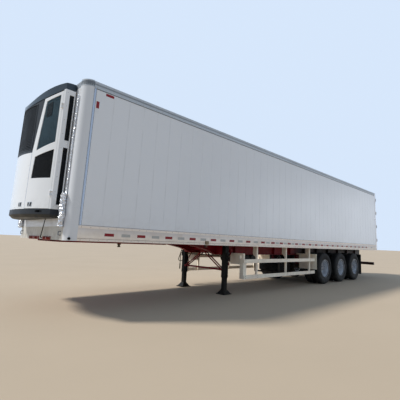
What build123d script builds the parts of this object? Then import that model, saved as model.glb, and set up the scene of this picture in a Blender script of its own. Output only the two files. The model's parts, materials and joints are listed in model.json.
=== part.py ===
from build123d import *
import math
import os

# A refrigerated van semi trailer with three twin-tyred axles, standing on its landing legs.
# Millimetres. X forward, Y to the left side, Z up from the ground, origin under the middle.
# Places along the length are distances behind the front wall's outer face, heights from the ground,
# unless a name says otherwise.

# Box
BOX_LENGTH = 14000
BOX_WIDTH = 2550
ROOF_TOP = 3920
RAIL_FOOT = 1200
RAIL_HEIGHT = 250
RAIL_PROUD = 5
RAIL_SHEET = 10
RAIL_LIP = 60
RAIL_GROOVE_UP = 42
TOP_RAIL_HEIGHT = 140
TOP_GROOVE_UP = 72
TOP_RAIL_CHAMFER = 28
GROOVE_WIDTH = 8
GROOVE_DEPTH = 3
WALL = 80
ROOF_SINK = 8
ROOF_THICKNESS = 82
DECK_BOTTOM = 1360
DECK_THICKNESS = 110
DECK_RIB = 30
DECK_SLOT = 30
DECK_SLOT_DEPTH = 25
POST_RADIUS = 162
POST_CAP_HEIGHT = 120
FRONT_SILL_HEIGHT = 220

# Rear frame and doors
REAR_POST_WIDTH = 90
REAR_FRAME_DEPTH = 120
REAR_HEADER_HEIGHT = 130
DOOR_THICKNESS = 80
DOOR_CHAMFER = 5
DOOR_SINK = 40
DOOR_SIDE_GAP = 6
DOOR_MIDDLE_GAP = 16
HINGE_OFFSET = 12
HINGE_PIN_RADIUS = 10
HINGE_STRAP = 8
HINGE_STRAP_GAP = 5
HINGE_HEIGHT = 110
HINGE_COUNT = 4
HINGE_END = 200
HINGE_INSET = 30
HINGE_FOOT = 40
LUG_THICKNESS = 12
PIN_RADIUS = 6
PIN_CLEARANCE = 0.3

# Lock bars on the rear doors
BAR_RADIUS = 13
BAR_STAND = 24
BAR_MARGIN = 30
BAR_FROM_MIDDLE = 130
BAR_FROM_SIDE = 330
BEARING_WIDTH = 60
BEARING_HEIGHT = 50
BEARING_WALL = 3
BEARING_INSET = 150
CAM_LENGTH = 55
CAM_HEIGHT = 25
CAM_THICKNESS = 18
HANDLE_UP = 420
HANDLE_STEP = 110
HANDLE_LENGTH = 290
HANDLE_HEIGHT = 28
HANDLE_THICKNESS = 8
CATCH_WIDTH = 34
CATCH_HEIGHT = 46

# Cooling unit on the nose, its heights above its foot
UNIT_DEPTH = 467
UNIT_SIDE_DEPTH = 175
UNIT_HALF_WIDTH = 960
UNIT_FOOT = 1550
UNIT_SKIRT_HEIGHT = 135
UNIT_DROP = 65
CAP_CORNER_HEIGHT = 125
CAP_NOSE_HEIGHT = 325
CAP_ARC_START = 60
CAP_ARC_RADIUS = 445
CAP_SKIN = 8
UNIT_SKIN = 30
UNIT_OUTER_SKIN = 6
UNIT_STAND_OFF = 12
UNIT_BACK = 32
UNIT_GAP = 5
UNIT_STRIP = 32
CAP_GAP = 18
CAP_INNER_GAP = 62
SEAM_HALF = 440
SEAM_HEAD_HALF = 622
UNIT_PIN_OUT = 14
UNIT_PIN_ASIDE = 2.5
UNIT_KNUCKLE = 8
UNIT_KNUCKLE_PIN = 4
UNIT_HINGE_HEIGHT = 60
UNIT_HINGE_UP = 250
UNIT_HINGE_DOWN = 300
UNIT_LEAF_BACK = 20
UNIT_LEAF_INNER = 30
UNIT_LEAF_OUTER = 3
SKIRT_CHAMFER = 50
SKIRT_SLOT_Y = 770
SKIRT_SLOT_UP = 95
SKIRT_SLOT_WIDTH = 110
SKIRT_SLOT_HEIGHT = 36
SKIRT_SLOT_DEPTH = 14
ENGINE_BACK = 60
ENGINE_DEPTH = 240
ENGINE_ASIDE = 460
ENGINE_HEIGHT = 700

# Grilles of the cooling unit
CENTRE_FOOT_UP = 1090
CENTRE_SINK = 6
WINDOW_HALF = 398
WINDOW_FOOT_UP = 1160
WINDOW_HEAD_DOWN = 22
WINDOW_BORDER = 14
GRILLE_SEAT = 12
GRILLE_EDGE_GAP = 1
SEAT_GAP = 0.3
SLAT_PITCH = 30
SLAT_HEIGHT = 11
SLAT_SINK = 3
GRILLE_PLATE = 4
# each corner: distance in from the door's outer edge, height above the unit's foot
LOWER_GRILLE = ((423, 640), (35, 640), (35, 1123), (398, 1006))
UPPER_GRILLE_FOOT = ((388, 1115), (35, 1250))
# each corner: distance in from the door's outer edge, depth below the unit's top
UPPER_GRILLE_HEAD = ((35, 226), (296, 325))
# side vents: heights above the unit's foot, and the upper one's head below the unit's top
LOWER_VENT = (210, 1165)
UPPER_VENT_FOOT = 1290
UPPER_VENT_HEAD = 215
VENT_BACK = 33
VENT_WIDTH = 73
VENT_SINK = 10

# Frame under the box
BEAM_Y = 480
FLANGE_WIDTH = 140
FLANGE = 14
WEB = 10
NECK_BOTTOM = 1175
BEAM_BOTTOM = 955
BEAM_START = 150
NECK_END = 3150
NECK_MIDDLE = 3680
NECK_MIDDLE_DROP = 100
BEAM_LEVEL = 4000
STIFFENER = 8
STIFFENER_FIRST = 4760
STIFFENER_PITCH = 940
CROSS_HEIGHT = 75
CROSS_FLANGE = 45
CROSS_SHEET = 6
CROSS_FIRST = 260
CROSS_PITCH = 470
COUPLER_PLATE = 10
COUPLER_LENGTH = 2250
COUPLER_WIDTH = 1100
KINGPIN_BEHIND = 1575
KINGPIN_BASE = 36.5
KINGPIN_BASE_HEIGHT = 35
KINGPIN_SHANK = 25.4
KINGPIN_SHANK_HEIGHT = 35
KINGPIN_COLLAR = 35.7
KINGPIN_COLLAR_HEIGHT = 14

# Wheels
TYRE_RADIUS = 525
TYRE_WIDTH = 278
TYRE_BORE = 292
TYRE_BEAD_IN = 38
TYRE_WALL_UP = 80
TYRE_SHOULDER_IN = 38
TYRE_SHOULDER = 60
TYRE_SHOULDER_DRAW = 7
TWIN_SPACING = 326
TWIN_CENTRE = 942
AXLE_FIRST = 8750
AXLE_SPACING = 1310
AXLE_COUNT = 3
RIM_LIP = 306
RIM_LIP_THICKNESS = 12
RIM_LIP_RAMP = 8
RIM_FROM_EDGE = 15
RIM_FIT = 0.3
RIM_WALL = 12
DISC_WALL = 26
DISC_DISH = 48
HUB_RADIUS = 105
HUB_FLANGE = 165
HUB_CAP = 72
HUB_CAP_OUT = 34
HUB_SHOULDER = 12
HAND_HOLE = 24
HAND_HOLE_AT = 218
HAND_HOLE_COUNT = 10
DRUM_RADIUS = 215
DRUM_DEPTH = 160
DRUM_INSET = 5

# Axles and springs
AXLE_TUBE = 75
SPINDLE = 45
RUNNING_GAP = 0.3
HUB_END_GAP = 2
SPRING_WIDTH = 90
SPRING_RADIUS = 3500
LEAF = 13
LEAF_HALVES = (150, 230, 310, 390, 470, 560)
SPRING_SEAT_UP = 20
SEAT_LENGTH = 140
SEAT_WIDTH = 132
CLAMP_PLATE = 15
CLAMP_GAP = 1.5
CLAMP_ROD = 8
CLAMP_ASIDE = 56
CLAMP_ALONG = 50
HANGER_LENGTH = 220
HANGER_WIDTH = 120
CHEEK = 10
CHEEK_DROP = 90
CHAMBER_RADIUS = 78
CHAMBER_LENGTH = 170
CHAMBER_Y = 320
CHAMBER_BEHIND = 110
CHAMBER_UP = 40
CHAMBER_BRACKET = 14
CAM_SHAFT = 18
CAM_SHAFT_BEHIND = 105

# Landing legs
LEG_BEHIND = 4100
LEG_Y = 790
LEG_SIZE = 120
INNER_LEG_SIZE = 100
LEG_TOP = 1200
LEG_SLEEVE_FOOT = 400
LEG_OVERLAP = 300
FOOT_SIZE = 280
FOOT_HEIGHT = 120
FOOT_PAD = 20
FOOT_INSET = 20
GEARBOX_WIDTH = 50
GEARBOX_LENGTH = 104
GEARBOX_FOOT = 850
GEARBOX_HEAD = 1010
SHAFT_Z = 925
SHAFT_RADIUS = 18
SHAFT_STUB = 60
CROSS_TUBE_Z = 590
CROSS_TUBE_RADIUS = 24
BRACE_APART = 45
BRACE_RADIUS = 16
BRACE_HEAD_Y = 40
BRACE_HEAD_Z = 1010
BRACE_FOOT_Z = 600
KNEE_LENGTH = 120
KNEE_WIDTH = 70
KNEE_HEIGHT = 45
BRACKET_LENGTH = 180
TIE_WIDTH = 100
TIE_UP = 90
TIE_HEIGHT = 80
TIE_PAD = 180
TIE_PAD_HEIGHT = 55
REAR_BRACE_BEHIND = 4377
REAR_BRACE_FOOT_Z = 740
REAR_BRACE_HEAD_Y = 740
REAR_BRACE_HEAD_Z = 1060
REAR_BRACE_PLATE = 80
# the crank hangs from the gearbox and the stay runs from the leg up to the deck
CRANK_RADIUS = 11
CRANK_OUT = 110
CRANK_FOOT = 470
CRANK_BEND_RADIUS = 40
CRANK_GRIP_RADIUS = 17
CRANK_GRIP_LENGTH = 150
STAY_Z = 700
STAY_BACK = 40
STAY_OUT = 315
STAY_HEAD_IN = 302

# Side guards and splash plates
GUARD_INSET = 70
GUARD_FRONT = 4370
GUARD_TO_AXLE = 710
GUARD_UPPER = 825
GUARD_LOWER = 430
GUARD_RAIL_HEIGHT = 95
GUARD_RAIL_THICKNESS = 30
GUARD_POST = 50
GUARD_FRONT_POST = 120
GUARD_FRONT_POST_DEPTH = 120
GUARD_ARM_HEIGHT = 45
VALVE_BOX_INNER = 720
VALVE_BOX_OUTER = 1045
VALVE_BOX_LENGTH = 200
VALVE_BOX_FOOT = 735
GUARD_MEMBERS = (10, 13, 16)
GUSSET_REACH = 165
GUSSET_BEND = 1010
GUSSET_FOOT = 900
GUSSET_SEAT = 5
GUSSET_SHEET = 8
SPLASH_TO_AXLE = 650
SPLASH_SHEET = 4
SPLASH_FOOT = 505
SPLASH_INNER = 580
SIDE_INSET = 25
ARM_SIZE = 40

# Spare wheels and air tanks
SPARE_BEHIND = 7440
SPARE_BOTTOM = 400
SPARE_DISC = 12
SPARE_DISC_HOLE = 140
CARRIER_BAR = 50
CARRIER_END = 450
CARRIER_RAIL_Y = 300
TANK_RADIUS = 125
TANK_LENGTH = 1000
TANK_DOME = 22
TANKS = (5358, 5612)

# Mud flaps and rear bar
FLAP_TO_AXLE = 640
FLAP_THICKNESS = 8
FLAP_FOOT = 200
REAR_BAR_FORWARD = 140
REAR_BAR_HEIGHT = 120
REAR_BAR_DEPTH = 100
REAR_BAR_Z = 590
REAR_BAR_INSET = 125
REAR_BAR_POST = 80

# Front wall: couplings, conduits and drain pipe, their places aside from the middle
PLATE_HEIGHT = 60
PLATE_DROP = 8
PLATE_THICKNESS = 12
# each plate: from, to
COUPLING_PLATES = ((-530, 20), (240, 600))
# each coupling: place, radius, length
COUPLINGS = ((-400, 22, 34), (-120, 22, 34), (370, 26, 40), (520, 26, 40))
GRIP_Y = 1020
GRIP_FOOT = 1280
GRIP_HEIGHT = 60
GRIP_OUT = 36
GRIP_RADIUS = 6
CONDUIT_RADIUS = 12
CONDUIT_STAND = 6
CONDUIT_BEND = 300
# bends of the conduit from its head down: place, height
CONDUIT_BENDS = ((1112, 3640), (1096, 3050), (1098, 1935))
WRAP_RADIUS = 44
WRAP_BEND = 120
# bends of the wrapped lower length
WRAP_BENDS = ((1098, 1950), (1086, 1760), (1112, 1590), (1078, 1410))
CLIP_HEIGHT = 24
CLIP_ASIDE = 12
CLIPS = ((1096, 3050), (1097, 2400))
DRAIN_RADIUS = 7
DRAIN_Y = 275
DRAIN_HEAD_Y = 415
DRAIN_OUT = 60
DRAIN_BEND = 30

# Lamps
SIDE_LAMP_BEHIND = 2975
SIDE_LAMP_Z = 1262
SIDE_LAMP_LENGTH = 62
SIDE_LAMP_HEIGHT = 32
SIDE_LAMP_PROUD = 14
HUNG_LAMP_DROP = 58
HUNG_LAMP_WIDTH = 40
POST_LAMP_RADIUS = 22
POST_LAMP_PROUD = 12
POST_LAMP_Z = 1233
POST_LAMP_ANGLE = 50
TAIL_LAMP_RADIUS = 48
TAIL_LAMP_PROUD = 14
TAIL_LAMP_UP = 115
TAIL_LAMP_FIRST = 110
TAIL_LAMP_PITCH = 118
TAIL_LAMP_COUNT = 3

# Sizes that follow from the ones above
HALF = BOX_WIDTH / 2
SKIN = HALF - RAIL_PROUD
INNER = SKIN - WALL
REAR_REACH = HINGE_OFFSET + HINGE_PIN_RADIUS
FRONT_X = (BOX_LENGTH + REAR_REACH - UNIT_DEPTH) / 2
REAR_X = FRONT_X - BOX_LENGTH
WALL_FOOT = RAIL_FOOT + RAIL_HEIGHT
WALL_HEAD = ROOF_TOP - TOP_RAIL_HEIGHT
DECK_TOP = DECK_BOTTOM + DECK_THICKNESS
BEAM_TOP = DECK_BOTTOM - CROSS_HEIGHT
OPENING_HALF = HALF - REAR_POST_WIDTH
HEADER_FOOT = ROOF_TOP - REAR_HEADER_HEIGHT
UNIT_TOP = ROOF_TOP - UNIT_DROP
PANEL_FOOT = UNIT_FOOT + UNIT_SKIRT_HEIGHT
CORNER_X = FRONT_X + UNIT_SIDE_DEPTH
NOSE_X = FRONT_X + UNIT_DEPTH
DOOR_EDGE = UNIT_HALF_WIDTH - UNIT_STRIP
GUARD_Y = HALF - GUARD_INSET
AXLE_Z = TYRE_RADIUS
OUTER_WHEEL = TWIN_CENTRE + TWIN_SPACING / 2
INNER_WHEEL = TWIN_CENTRE - TWIN_SPACING / 2
WHEEL_INSIDE = INNER_WHEEL - TYRE_WIDTH / 2
SPRING_FOOT = AXLE_Z + AXLE_TUBE + SPRING_SEAT_UP
SPRING_HEAD = SPRING_FOOT + LEAF * len(LEAF_HALVES)
SPARE = 50


def at(behind):
    """The X of a place so far behind the front wall."""
    return FRONT_X - behind


def axle_at(number):
    """The X of an axle, counted from 0."""
    return at(AXLE_FIRST + number * AXLE_SPACING)


def block(x0, x1, y0, y1, z0, z1):
    """A box between two corners."""
    size = (abs(x1 - x0), abs(y1 - y0), abs(z1 - z0))
    return Pos((x0 + x1) / 2, (y0 + y1) / 2, (z0 + z1) / 2) * Box(*size)


def along_x(points, x0, x1):
    """A prism between two X places, its outline given as (y, z) points."""
    outline = make_face(Polyline(*[(x0, y, z) for y, z in points], close=True))
    return extrude(outline, amount=abs(x1 - x0), dir=(math.copysign(1, x1 - x0), 0, 0))


def along_y(points, y0, y1):
    """A prism between two Y places, its outline given as (x, z) points."""
    outline = make_face(Polyline(*[(x, y0, z) for x, z in points], close=True))
    return extrude(outline, amount=abs(y1 - y0), dir=(0, math.copysign(1, y1 - y0), 0))


def rod(start, end, radius):
    """A round bar between two points."""
    start = Vector(*start)
    run = Vector(*end) - start
    return Plane(origin=start, z_dir=run) * Cylinder(
        radius, run.length, align=(Align.CENTER, Align.CENTER, Align.MIN)
    )


def bent(points, radius, bend):
    """A round bar along straight runs joined by bends."""
    path = FilletPolyline(*points, radius=bend)
    return sweep(Plane(origin=path @ 0, z_dir=path % 0) * Circle(radius), path=path)


def spun(points, x, z):
    """A body of revolution about a line across the trailer, its outline as (y, radius) points."""
    outline = make_face(Polyline(*[(x, y, z + r) for y, r in points], close=True))
    return revolve(outline, axis=Axis((x, 0, z), (0, 1, 0)))


def turned(points, x, y):
    """A body of revolution about an upright line, its outline as (radius, z) points."""
    outline = make_face(Polyline(*[(x + r, y, z) for r, z in points], close=True))
    return revolve(outline, axis=Axis((x, y, 0), (0, 0, 1)))


def right(shape):
    """The right-hand twin of a left-hand piece."""
    return mirror(shape, about=Plane.XZ)


def pair(shape):
    """A left-hand piece and its twin on the right."""
    return [shape, right(shape)]


def save(name, *shapes):
    """Writes the pieces of one sub-part to its own file."""
    solids = [solid for shape in shapes for solid in shape.solids()]
    export_step(Compound(solids), f"parts/{name}.step")


# Box: walls, roof, deck, posts and rails

def grooved(face, foot, head, groove_up, back, chamfer):
    """A rail's section with a groove, as (across, height) points, its face on the plus side."""
    middle = foot + groove_up
    low, high = middle - GROOVE_WIDTH / 2, middle + GROOVE_WIDTH / 2
    return [
        (back, foot), (face, foot), (face, low), (face - GROOVE_DEPTH, low), (face - GROOVE_DEPTH, high),
        (face, high), (face, head - chamfer), (face - chamfer, head), (back, head),
    ]


def corner(z0, z1, chamfer=0):
    """A stretch of the left corner post: a quarter of a ring."""
    x, y = at(POST_RADIUS), HALF - POST_RADIUS
    hollow = POST_RADIUS - RAIL_PROUD - WALL
    profile = [(hollow, z0), (POST_RADIUS, z0), (POST_RADIUS, z1 - chamfer), (hollow, z1)]
    if chamfer:
        profile.insert(3, (POST_RADIUS - chamfer, z1))
    outline = make_face(Polyline(*[(x + r, y, z) for r, z in profile], close=True))
    return revolve(outline, axis=Axis((x, y, 0), (0, 0, 1)), revolution_arc=90)


def build_walls():
    rear = REAR_X + REAR_FRAME_DEPTH
    edge = HALF - POST_RADIUS
    sill_head = RAIL_FOOT + FRONT_SILL_HEIGHT
    side = block(at(POST_RADIUS), rear, INNER, SKIN, WALL_FOOT, WALL_HEAD)
    front = block(at(WALL), at(0), -edge, edge, sill_head, WALL_HEAD)
    save("walls", *pair(side), front)
    save("front_sill", block(at(WALL), at(0), -edge, edge, RAIL_FOOT, sill_head))

    groove = RAIL_FOOT + RAIL_GROOVE_UP
    low, high = groove - GROOVE_WIDTH / 2, groove + GROOVE_WIDTH / 2
    sheet = HALF - RAIL_SHEET
    rail = [
        (HALF, RAIL_FOOT), (HALF, low), (HALF - GROOVE_DEPTH, low), (HALF - GROOVE_DEPTH, high), (HALF, high),
        (HALF, WALL_FOOT), (INNER, WALL_FOOT), (INNER, DECK_BOTTOM), (sheet, DECK_BOTTOM),
        (sheet, RAIL_FOOT + RAIL_SHEET), (HALF - RAIL_LIP, RAIL_FOOT + RAIL_SHEET),
        (HALF - RAIL_LIP, RAIL_FOOT),
    ]
    save("bottom_rails", *pair(along_x(rail, at(POST_RADIUS), rear)))
    side_rail = grooved(HALF, WALL_HEAD, ROOF_TOP, TOP_GROOVE_UP, INNER, TOP_RAIL_CHAMFER)
    front_rail = grooved(at(0), WALL_HEAD, ROOF_TOP, TOP_GROOVE_UP, at(WALL), TOP_RAIL_CHAMFER)
    save("top_rails", *pair(along_x(side_rail, at(POST_RADIUS), rear)), along_y(front_rail, -edge, edge))

    post_head = ROOF_TOP - POST_CAP_HEIGHT
    save("corner_posts", *pair(corner(RAIL_FOOT, post_head)))
    save("corner_caps", *pair(corner(post_head, ROOF_TOP, TOP_RAIL_CHAMFER)))


def build_roof_and_deck():
    rear = REAR_X + REAR_FRAME_DEPTH
    roof_top = ROOF_TOP - ROOF_SINK
    roof = block(at(WALL), rear, -INNER, INNER, roof_top - ROOF_THICKNESS, roof_top)
    post = corner(roof_top - ROOF_THICKNESS, ROOF_TOP)
    save("roof", roof - post - right(post))

    pitch = DECK_RIB + DECK_SLOT
    slots = int((2 * INNER - DECK_RIB) / pitch)
    y = -(slots * pitch - DECK_RIB) / 2
    outline = [(-INNER, DECK_BOTTOM), (-INNER, DECK_TOP)]
    for step in range(slots):
        outline += [
            (y, DECK_TOP), (y, DECK_TOP - DECK_SLOT_DEPTH),
            (y + DECK_SLOT, DECK_TOP - DECK_SLOT_DEPTH), (y + DECK_SLOT, DECK_TOP),
        ]
        y = y + pitch
    outline += [(INNER, DECK_TOP), (INNER, DECK_BOTTOM)]
    post = corner(DECK_BOTTOM, DECK_TOP)
    save("deck", along_x(outline, at(WALL), rear) - post - right(post))


# Rear frame, doors, hinges and lock bars

def hinge(z, face):
    """The door's half of one left hinge and the frame's half with its pin."""
    pin_x, pin_y = REAR_X - HINGE_OFFSET, HALF + HINGE_OFFSET
    low, high = z - HINGE_HEIGHT / 2, z + HINGE_HEIGHT / 2
    front = REAR_X - HINGE_STRAP_GAP
    rear = front - HINGE_STRAP
    foot_y = OPENING_HALF - HINGE_INSET
    leaf = block(rear, front, foot_y - HINGE_FOOT, pin_y, low, high)
    leaf = leaf + Pos(pin_x, pin_y, z) * Cylinder(HINGE_PIN_RADIUS, HINGE_HEIGHT)
    leaf = leaf + block(rear, face, foot_y - HINGE_FOOT, foot_y, low, high)
    leaf = leaf - Pos(pin_x, pin_y, z) * Cylinder(PIN_RADIUS + PIN_CLEARANCE, HINGE_HEIGHT + 2)
    reach = HINGE_HEIGHT / 2 + PIN_CLEARANCE + LUG_THICKNESS
    lug = Pos(pin_x, pin_y, z) * Cylinder(PIN_RADIUS, 2 * reach)
    for middle in (z - reach + LUG_THICKNESS / 2, z + reach - LUG_THICKNESS / 2):
        z0, z1 = middle - LUG_THICKNESS / 2, middle + LUG_THICKNESS / 2
        lug = lug + block(pin_x, REAR_X, HALF - HINGE_INSET, pin_y, z0, z1)
        lug = lug + Pos(pin_x, pin_y, middle) * Cylinder(HINGE_PIN_RADIUS, LUG_THICKNESS)
    return leaf, lug


def lock_bar(y, handle_z, way, face, low, high):
    """One lock bar with its bearings, cams, handle and catch; the handle points along +Y or -Y."""
    x = face - BAR_STAND
    rear = x - BAR_RADIUS - BEARING_WALL
    bar = rod((x, y, low + BAR_MARGIN), (x, y, high - BAR_MARGIN), BAR_RADIUS)
    for z in (low + BEARING_INSET, (low + high) / 2, high - BEARING_INSET):
        half_y, half_z = BEARING_WIDTH / 2, BEARING_HEIGHT / 2
        bar = bar + block(rear, face, y - half_y, y + half_y, z - half_z, z + half_z)
    for z in (low + BAR_MARGIN, high - BAR_MARGIN - CAM_HEIGHT):
        half_x = CAM_THICKNESS / 2
        bar = bar + block(x - half_x, x + half_x, y, y + way * CAM_LENGTH, z, z + CAM_HEIGHT)
    half_x, half_z = HANDLE_THICKNESS / 2, HANDLE_HEIGHT / 2
    tip = y + way * HANDLE_LENGTH
    bar = bar + block(x - half_x, x + half_x, y, tip, handle_z - half_z, handle_z + half_z)
    half_z = CATCH_HEIGHT / 2
    near = tip - way * CATCH_WIDTH
    return bar + block(x - 2 * half_x, face, near, tip, handle_z - half_z, handle_z + half_z)


def build_rear():
    frame = block(REAR_X, REAR_X + REAR_FRAME_DEPTH, -HALF, HALF, RAIL_FOOT, ROOF_TOP)
    frame = frame - block(
        REAR_X - 1, REAR_X + REAR_FRAME_DEPTH + 1, -OPENING_HALF, OPENING_HALF, DECK_TOP, HEADER_FOOT
    )
    face = REAR_X + DOOR_SINK
    low, high = DECK_TOP + DOOR_SIDE_GAP, HEADER_FOOT - DOOR_SIDE_GAP
    leaf = block(face, face + DOOR_THICKNESS, DOOR_MIDDLE_GAP / 2, OPENING_HALF - DOOR_SIDE_GAP, low, high)
    leaf = chamfer(leaf.faces().sort_by(Axis.X)[0].edges(), DOOR_CHAMFER)
    fittings = []
    spacing = (high - low - 2 * HINGE_END) / (HINGE_COUNT - 1)
    for step in range(HINGE_COUNT):
        half, lug = hinge(low + HINGE_END + step * spacing, face)
        fittings.append(half)
        frame = frame + lug + right(lug)
    save("rear_frame", frame)
    handle_z = low + HANDLE_UP
    fittings.append(lock_bar(DOOR_MIDDLE_GAP / 2 + BAR_FROM_MIDDLE, handle_z, 1, face, low, high))
    fittings.append(lock_bar(OPENING_HALF - BAR_FROM_SIDE, handle_z + HANDLE_STEP, -1, face, low, high))
    save("door_left", leaf)
    save("door_right", right(leaf))
    save("door_fittings_left", *fittings)
    save("door_fittings_right", *[right(piece) for piece in fittings])


# Cooling unit: a bowed casing on the front wall

def bow(offset, z0, z1, half=UNIT_HALF_WIDTH, back=UNIT_STAND_OFF):
    """The unit's plan outline drawn in by an offset, between two heights."""
    corner_x = CORNER_X - offset
    side = half - offset
    outline = Polyline(
        (corner_x, side, z0), (FRONT_X + back, side, z0), (FRONT_X + back, -side, z0), (corner_x, -side, z0)
    ) + ThreePointArc((corner_x, -side, z0), (NOSE_X - offset, 0, z0), (corner_x, side, z0))
    return extrude(make_face(outline), amount=z1 - z0, dir=(0, 0, 1))


def bow_x(y):
    """The X of the bowed front at a distance aside from the middle."""
    rise = UNIT_DEPTH - UNIT_SIDE_DEPTH
    radius = (rise**2 + UNIT_HALF_WIDTH**2) / (2 * rise)
    return NOSE_X - radius + math.sqrt(radius**2 - y**2)


def slope(x):
    """The height of the line where the front panels meet the cap."""
    share = max(0, x - CORNER_X) / (NOSE_X - CORNER_X)
    return UNIT_TOP - CAP_CORNER_HEIGHT - share * (CAP_NOSE_HEIGHT - CAP_CORNER_HEIGHT)


def across_unit(points):
    """A knife wider than the unit, its outline given as (x, z) points."""
    return along_y(points, -UNIT_HALF_WIDTH - SPARE, UNIT_HALF_WIDTH + SPARE)


def under_cap(shape, gap=0):
    """What lies under the cap's sloping lower edge, less a gap."""
    x0, x1 = FRONT_X - SPARE, NOSE_X + SPARE
    head = ROOF_TOP + SPARE
    foot = [(x, slope(x) - gap) for x in (x0, CORNER_X, x1)]
    return shape - across_unit(foot + [(x1, head), (x0, head)])


def band(outer, inner, points):
    """A layer of the bowed front between two offsets, its outline given as (y, z) points."""
    layer = bow(outer, UNIT_FOOT, UNIT_TOP) - bow(inner, UNIT_FOOT - 1, UNIT_TOP + 1, back=-SPARE)
    return layer & along_x(points, CORNER_X - inner - UNIT_SKIN, NOSE_X + SPARE)


def cap_body(offset, back):
    """The cap's rounded outside drawn in by an offset."""
    radius = CAP_ARC_RADIUS - offset
    top = UNIT_TOP - offset
    start = FRONT_X + CAP_ARC_START
    reach = NOSE_X + SPARE - start
    turn = math.asin(min(reach / radius, math.sin(math.radians(80))))
    foot_x, foot_z = start + radius * math.sin(turn), top - radius * (1 - math.cos(turn))
    middle = (start + radius * math.sin(turn / 2), top - radius * (1 - math.cos(turn / 2)))
    y = -UNIT_HALF_WIDTH - SPARE
    head = UNIT_TOP + SPARE
    outline = ThreePointArc((start, y, top), (middle[0], y, middle[1]), (foot_x, y, foot_z)) + Polyline(
        (foot_x, y, foot_z), (foot_x + SPARE, y, foot_z), (foot_x + SPARE, y, head),
        (FRONT_X - SPARE, y, head), (FRONT_X - SPARE, y, top), (start, y, top)
    )
    knife = extrude(make_face(outline), amount=2 * (UNIT_HALF_WIDTH + SPARE), dir=(0, 1, 0))
    foot = UNIT_TOP - CAP_NOSE_HEIGHT - 1
    return bow(offset, foot, UNIT_TOP, back=back) - knife


def build_cap():
    cap = cap_body(0, UNIT_STAND_OFF) - cap_body(CAP_SKIN, UNIT_BACK)
    x0, x1 = FRONT_X - SPARE, NOSE_X + SPARE
    foot = UNIT_TOP - CAP_NOSE_HEIGHT - SPARE
    edge = [(x, slope(x)) for x in (x0, CORNER_X, x1)]
    cap = cap - across_unit(edge + [(x1, foot), (x0, foot)])
    save("unit_cap", cap)


def build_unit_body():
    edge = DOOR_EDGE + UNIT_GAP
    skirt = bow(0, UNIT_FOOT, PANEL_FOOT)
    rim = skirt.faces().sort_by(Axis.Z)[0].edges()
    rim = [line for line in rim if line.center().X > FRONT_X + UNIT_STAND_OFF + 1]
    skirt = chamfer(rim, SKIRT_CHAMFER)
    for y in (-SKIRT_SLOT_Y, SKIRT_SLOT_Y):
        origin = (bow_x(y) - SKIRT_SLOT_DEPTH, y, UNIT_FOOT + SKIRT_SLOT_UP)
        place = Plane(origin=origin, x_dir=(0, 1, 0), z_dir=(1, 0, 0))
        slot = place * SlotOverall(SKIRT_SLOT_WIDTH, SKIRT_SLOT_HEIGHT)
        skirt = skirt - extrude(slot, amount=UNIT_DEPTH)
    back = under_cap(block(FRONT_X, FRONT_X + UNIT_BACK, -edge, edge, UNIT_FOOT, UNIT_TOP))
    save("unit_base", skirt - block(FRONT_X, FRONT_X + UNIT_BACK, -HALF, HALF, UNIT_FOOT, PANEL_FOOT))
    save("unit_back", back)
    half = UNIT_HALF_WIDTH - ENGINE_ASIDE
    front = FRONT_X + ENGINE_BACK + ENGINE_DEPTH
    engine = block(FRONT_X + ENGINE_BACK, front, -half, half, PANEL_FOOT, PANEL_FOOT + ENGINE_HEIGHT)
    save("unit_engine", engine)


def slats(outer, inner, outline, z0, z1):
    """Level slats across a window of the bowed front."""
    body = band(outer, inner, outline)
    gaps = []
    z = z0
    while z < z1:
        top = z + SLAT_PITCH - SLAT_HEIGHT
        gaps.append(block(FRONT_X, NOSE_X + SPARE, -UNIT_HALF_WIDTH, UNIT_HALF_WIDTH, z, top))
        z = z + SLAT_PITCH
    return body - gaps


def build_unit_centre():
    foot = UNIT_FOOT + CENTRE_FOOT_UP
    window_foot = UNIT_FOOT + WINDOW_FOOT_UP
    window_head = UNIT_TOP - CAP_NOSE_HEIGHT - WINDOW_HEAD_DOWN
    outline = [(-SEAM_HALF, foot), (SEAM_HALF, foot), (SEAM_HEAD_HALF, UNIT_TOP), (-SEAM_HEAD_HALF, UNIT_TOP)]
    panel = under_cap(band(CENTRE_SINK, UNIT_SKIN, outline))
    window = [
        (-WINDOW_HALF, window_foot), (WINDOW_HALF, window_foot),
        (WINDOW_HALF, window_head), (-WINDOW_HALF, window_head),
    ]
    side = WINDOW_HALF + WINDOW_BORDER
    low, high = window_foot - WINDOW_BORDER, window_head + WINDOW_BORDER
    border = [(-side, low), (side, low), (side, high), (-side, high)]
    recess = UNIT_SKIN - GRILLE_PLATE
    frame = band(0, CENTRE_SINK + 1, border)
    shape = (panel + frame) - band(-1, recess, window)
    shape = shape + slats(CENTRE_SINK + SLAT_SINK, recess + 1, window, window_foot, window_head)
    save("unit_front_grille", shape)


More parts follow.
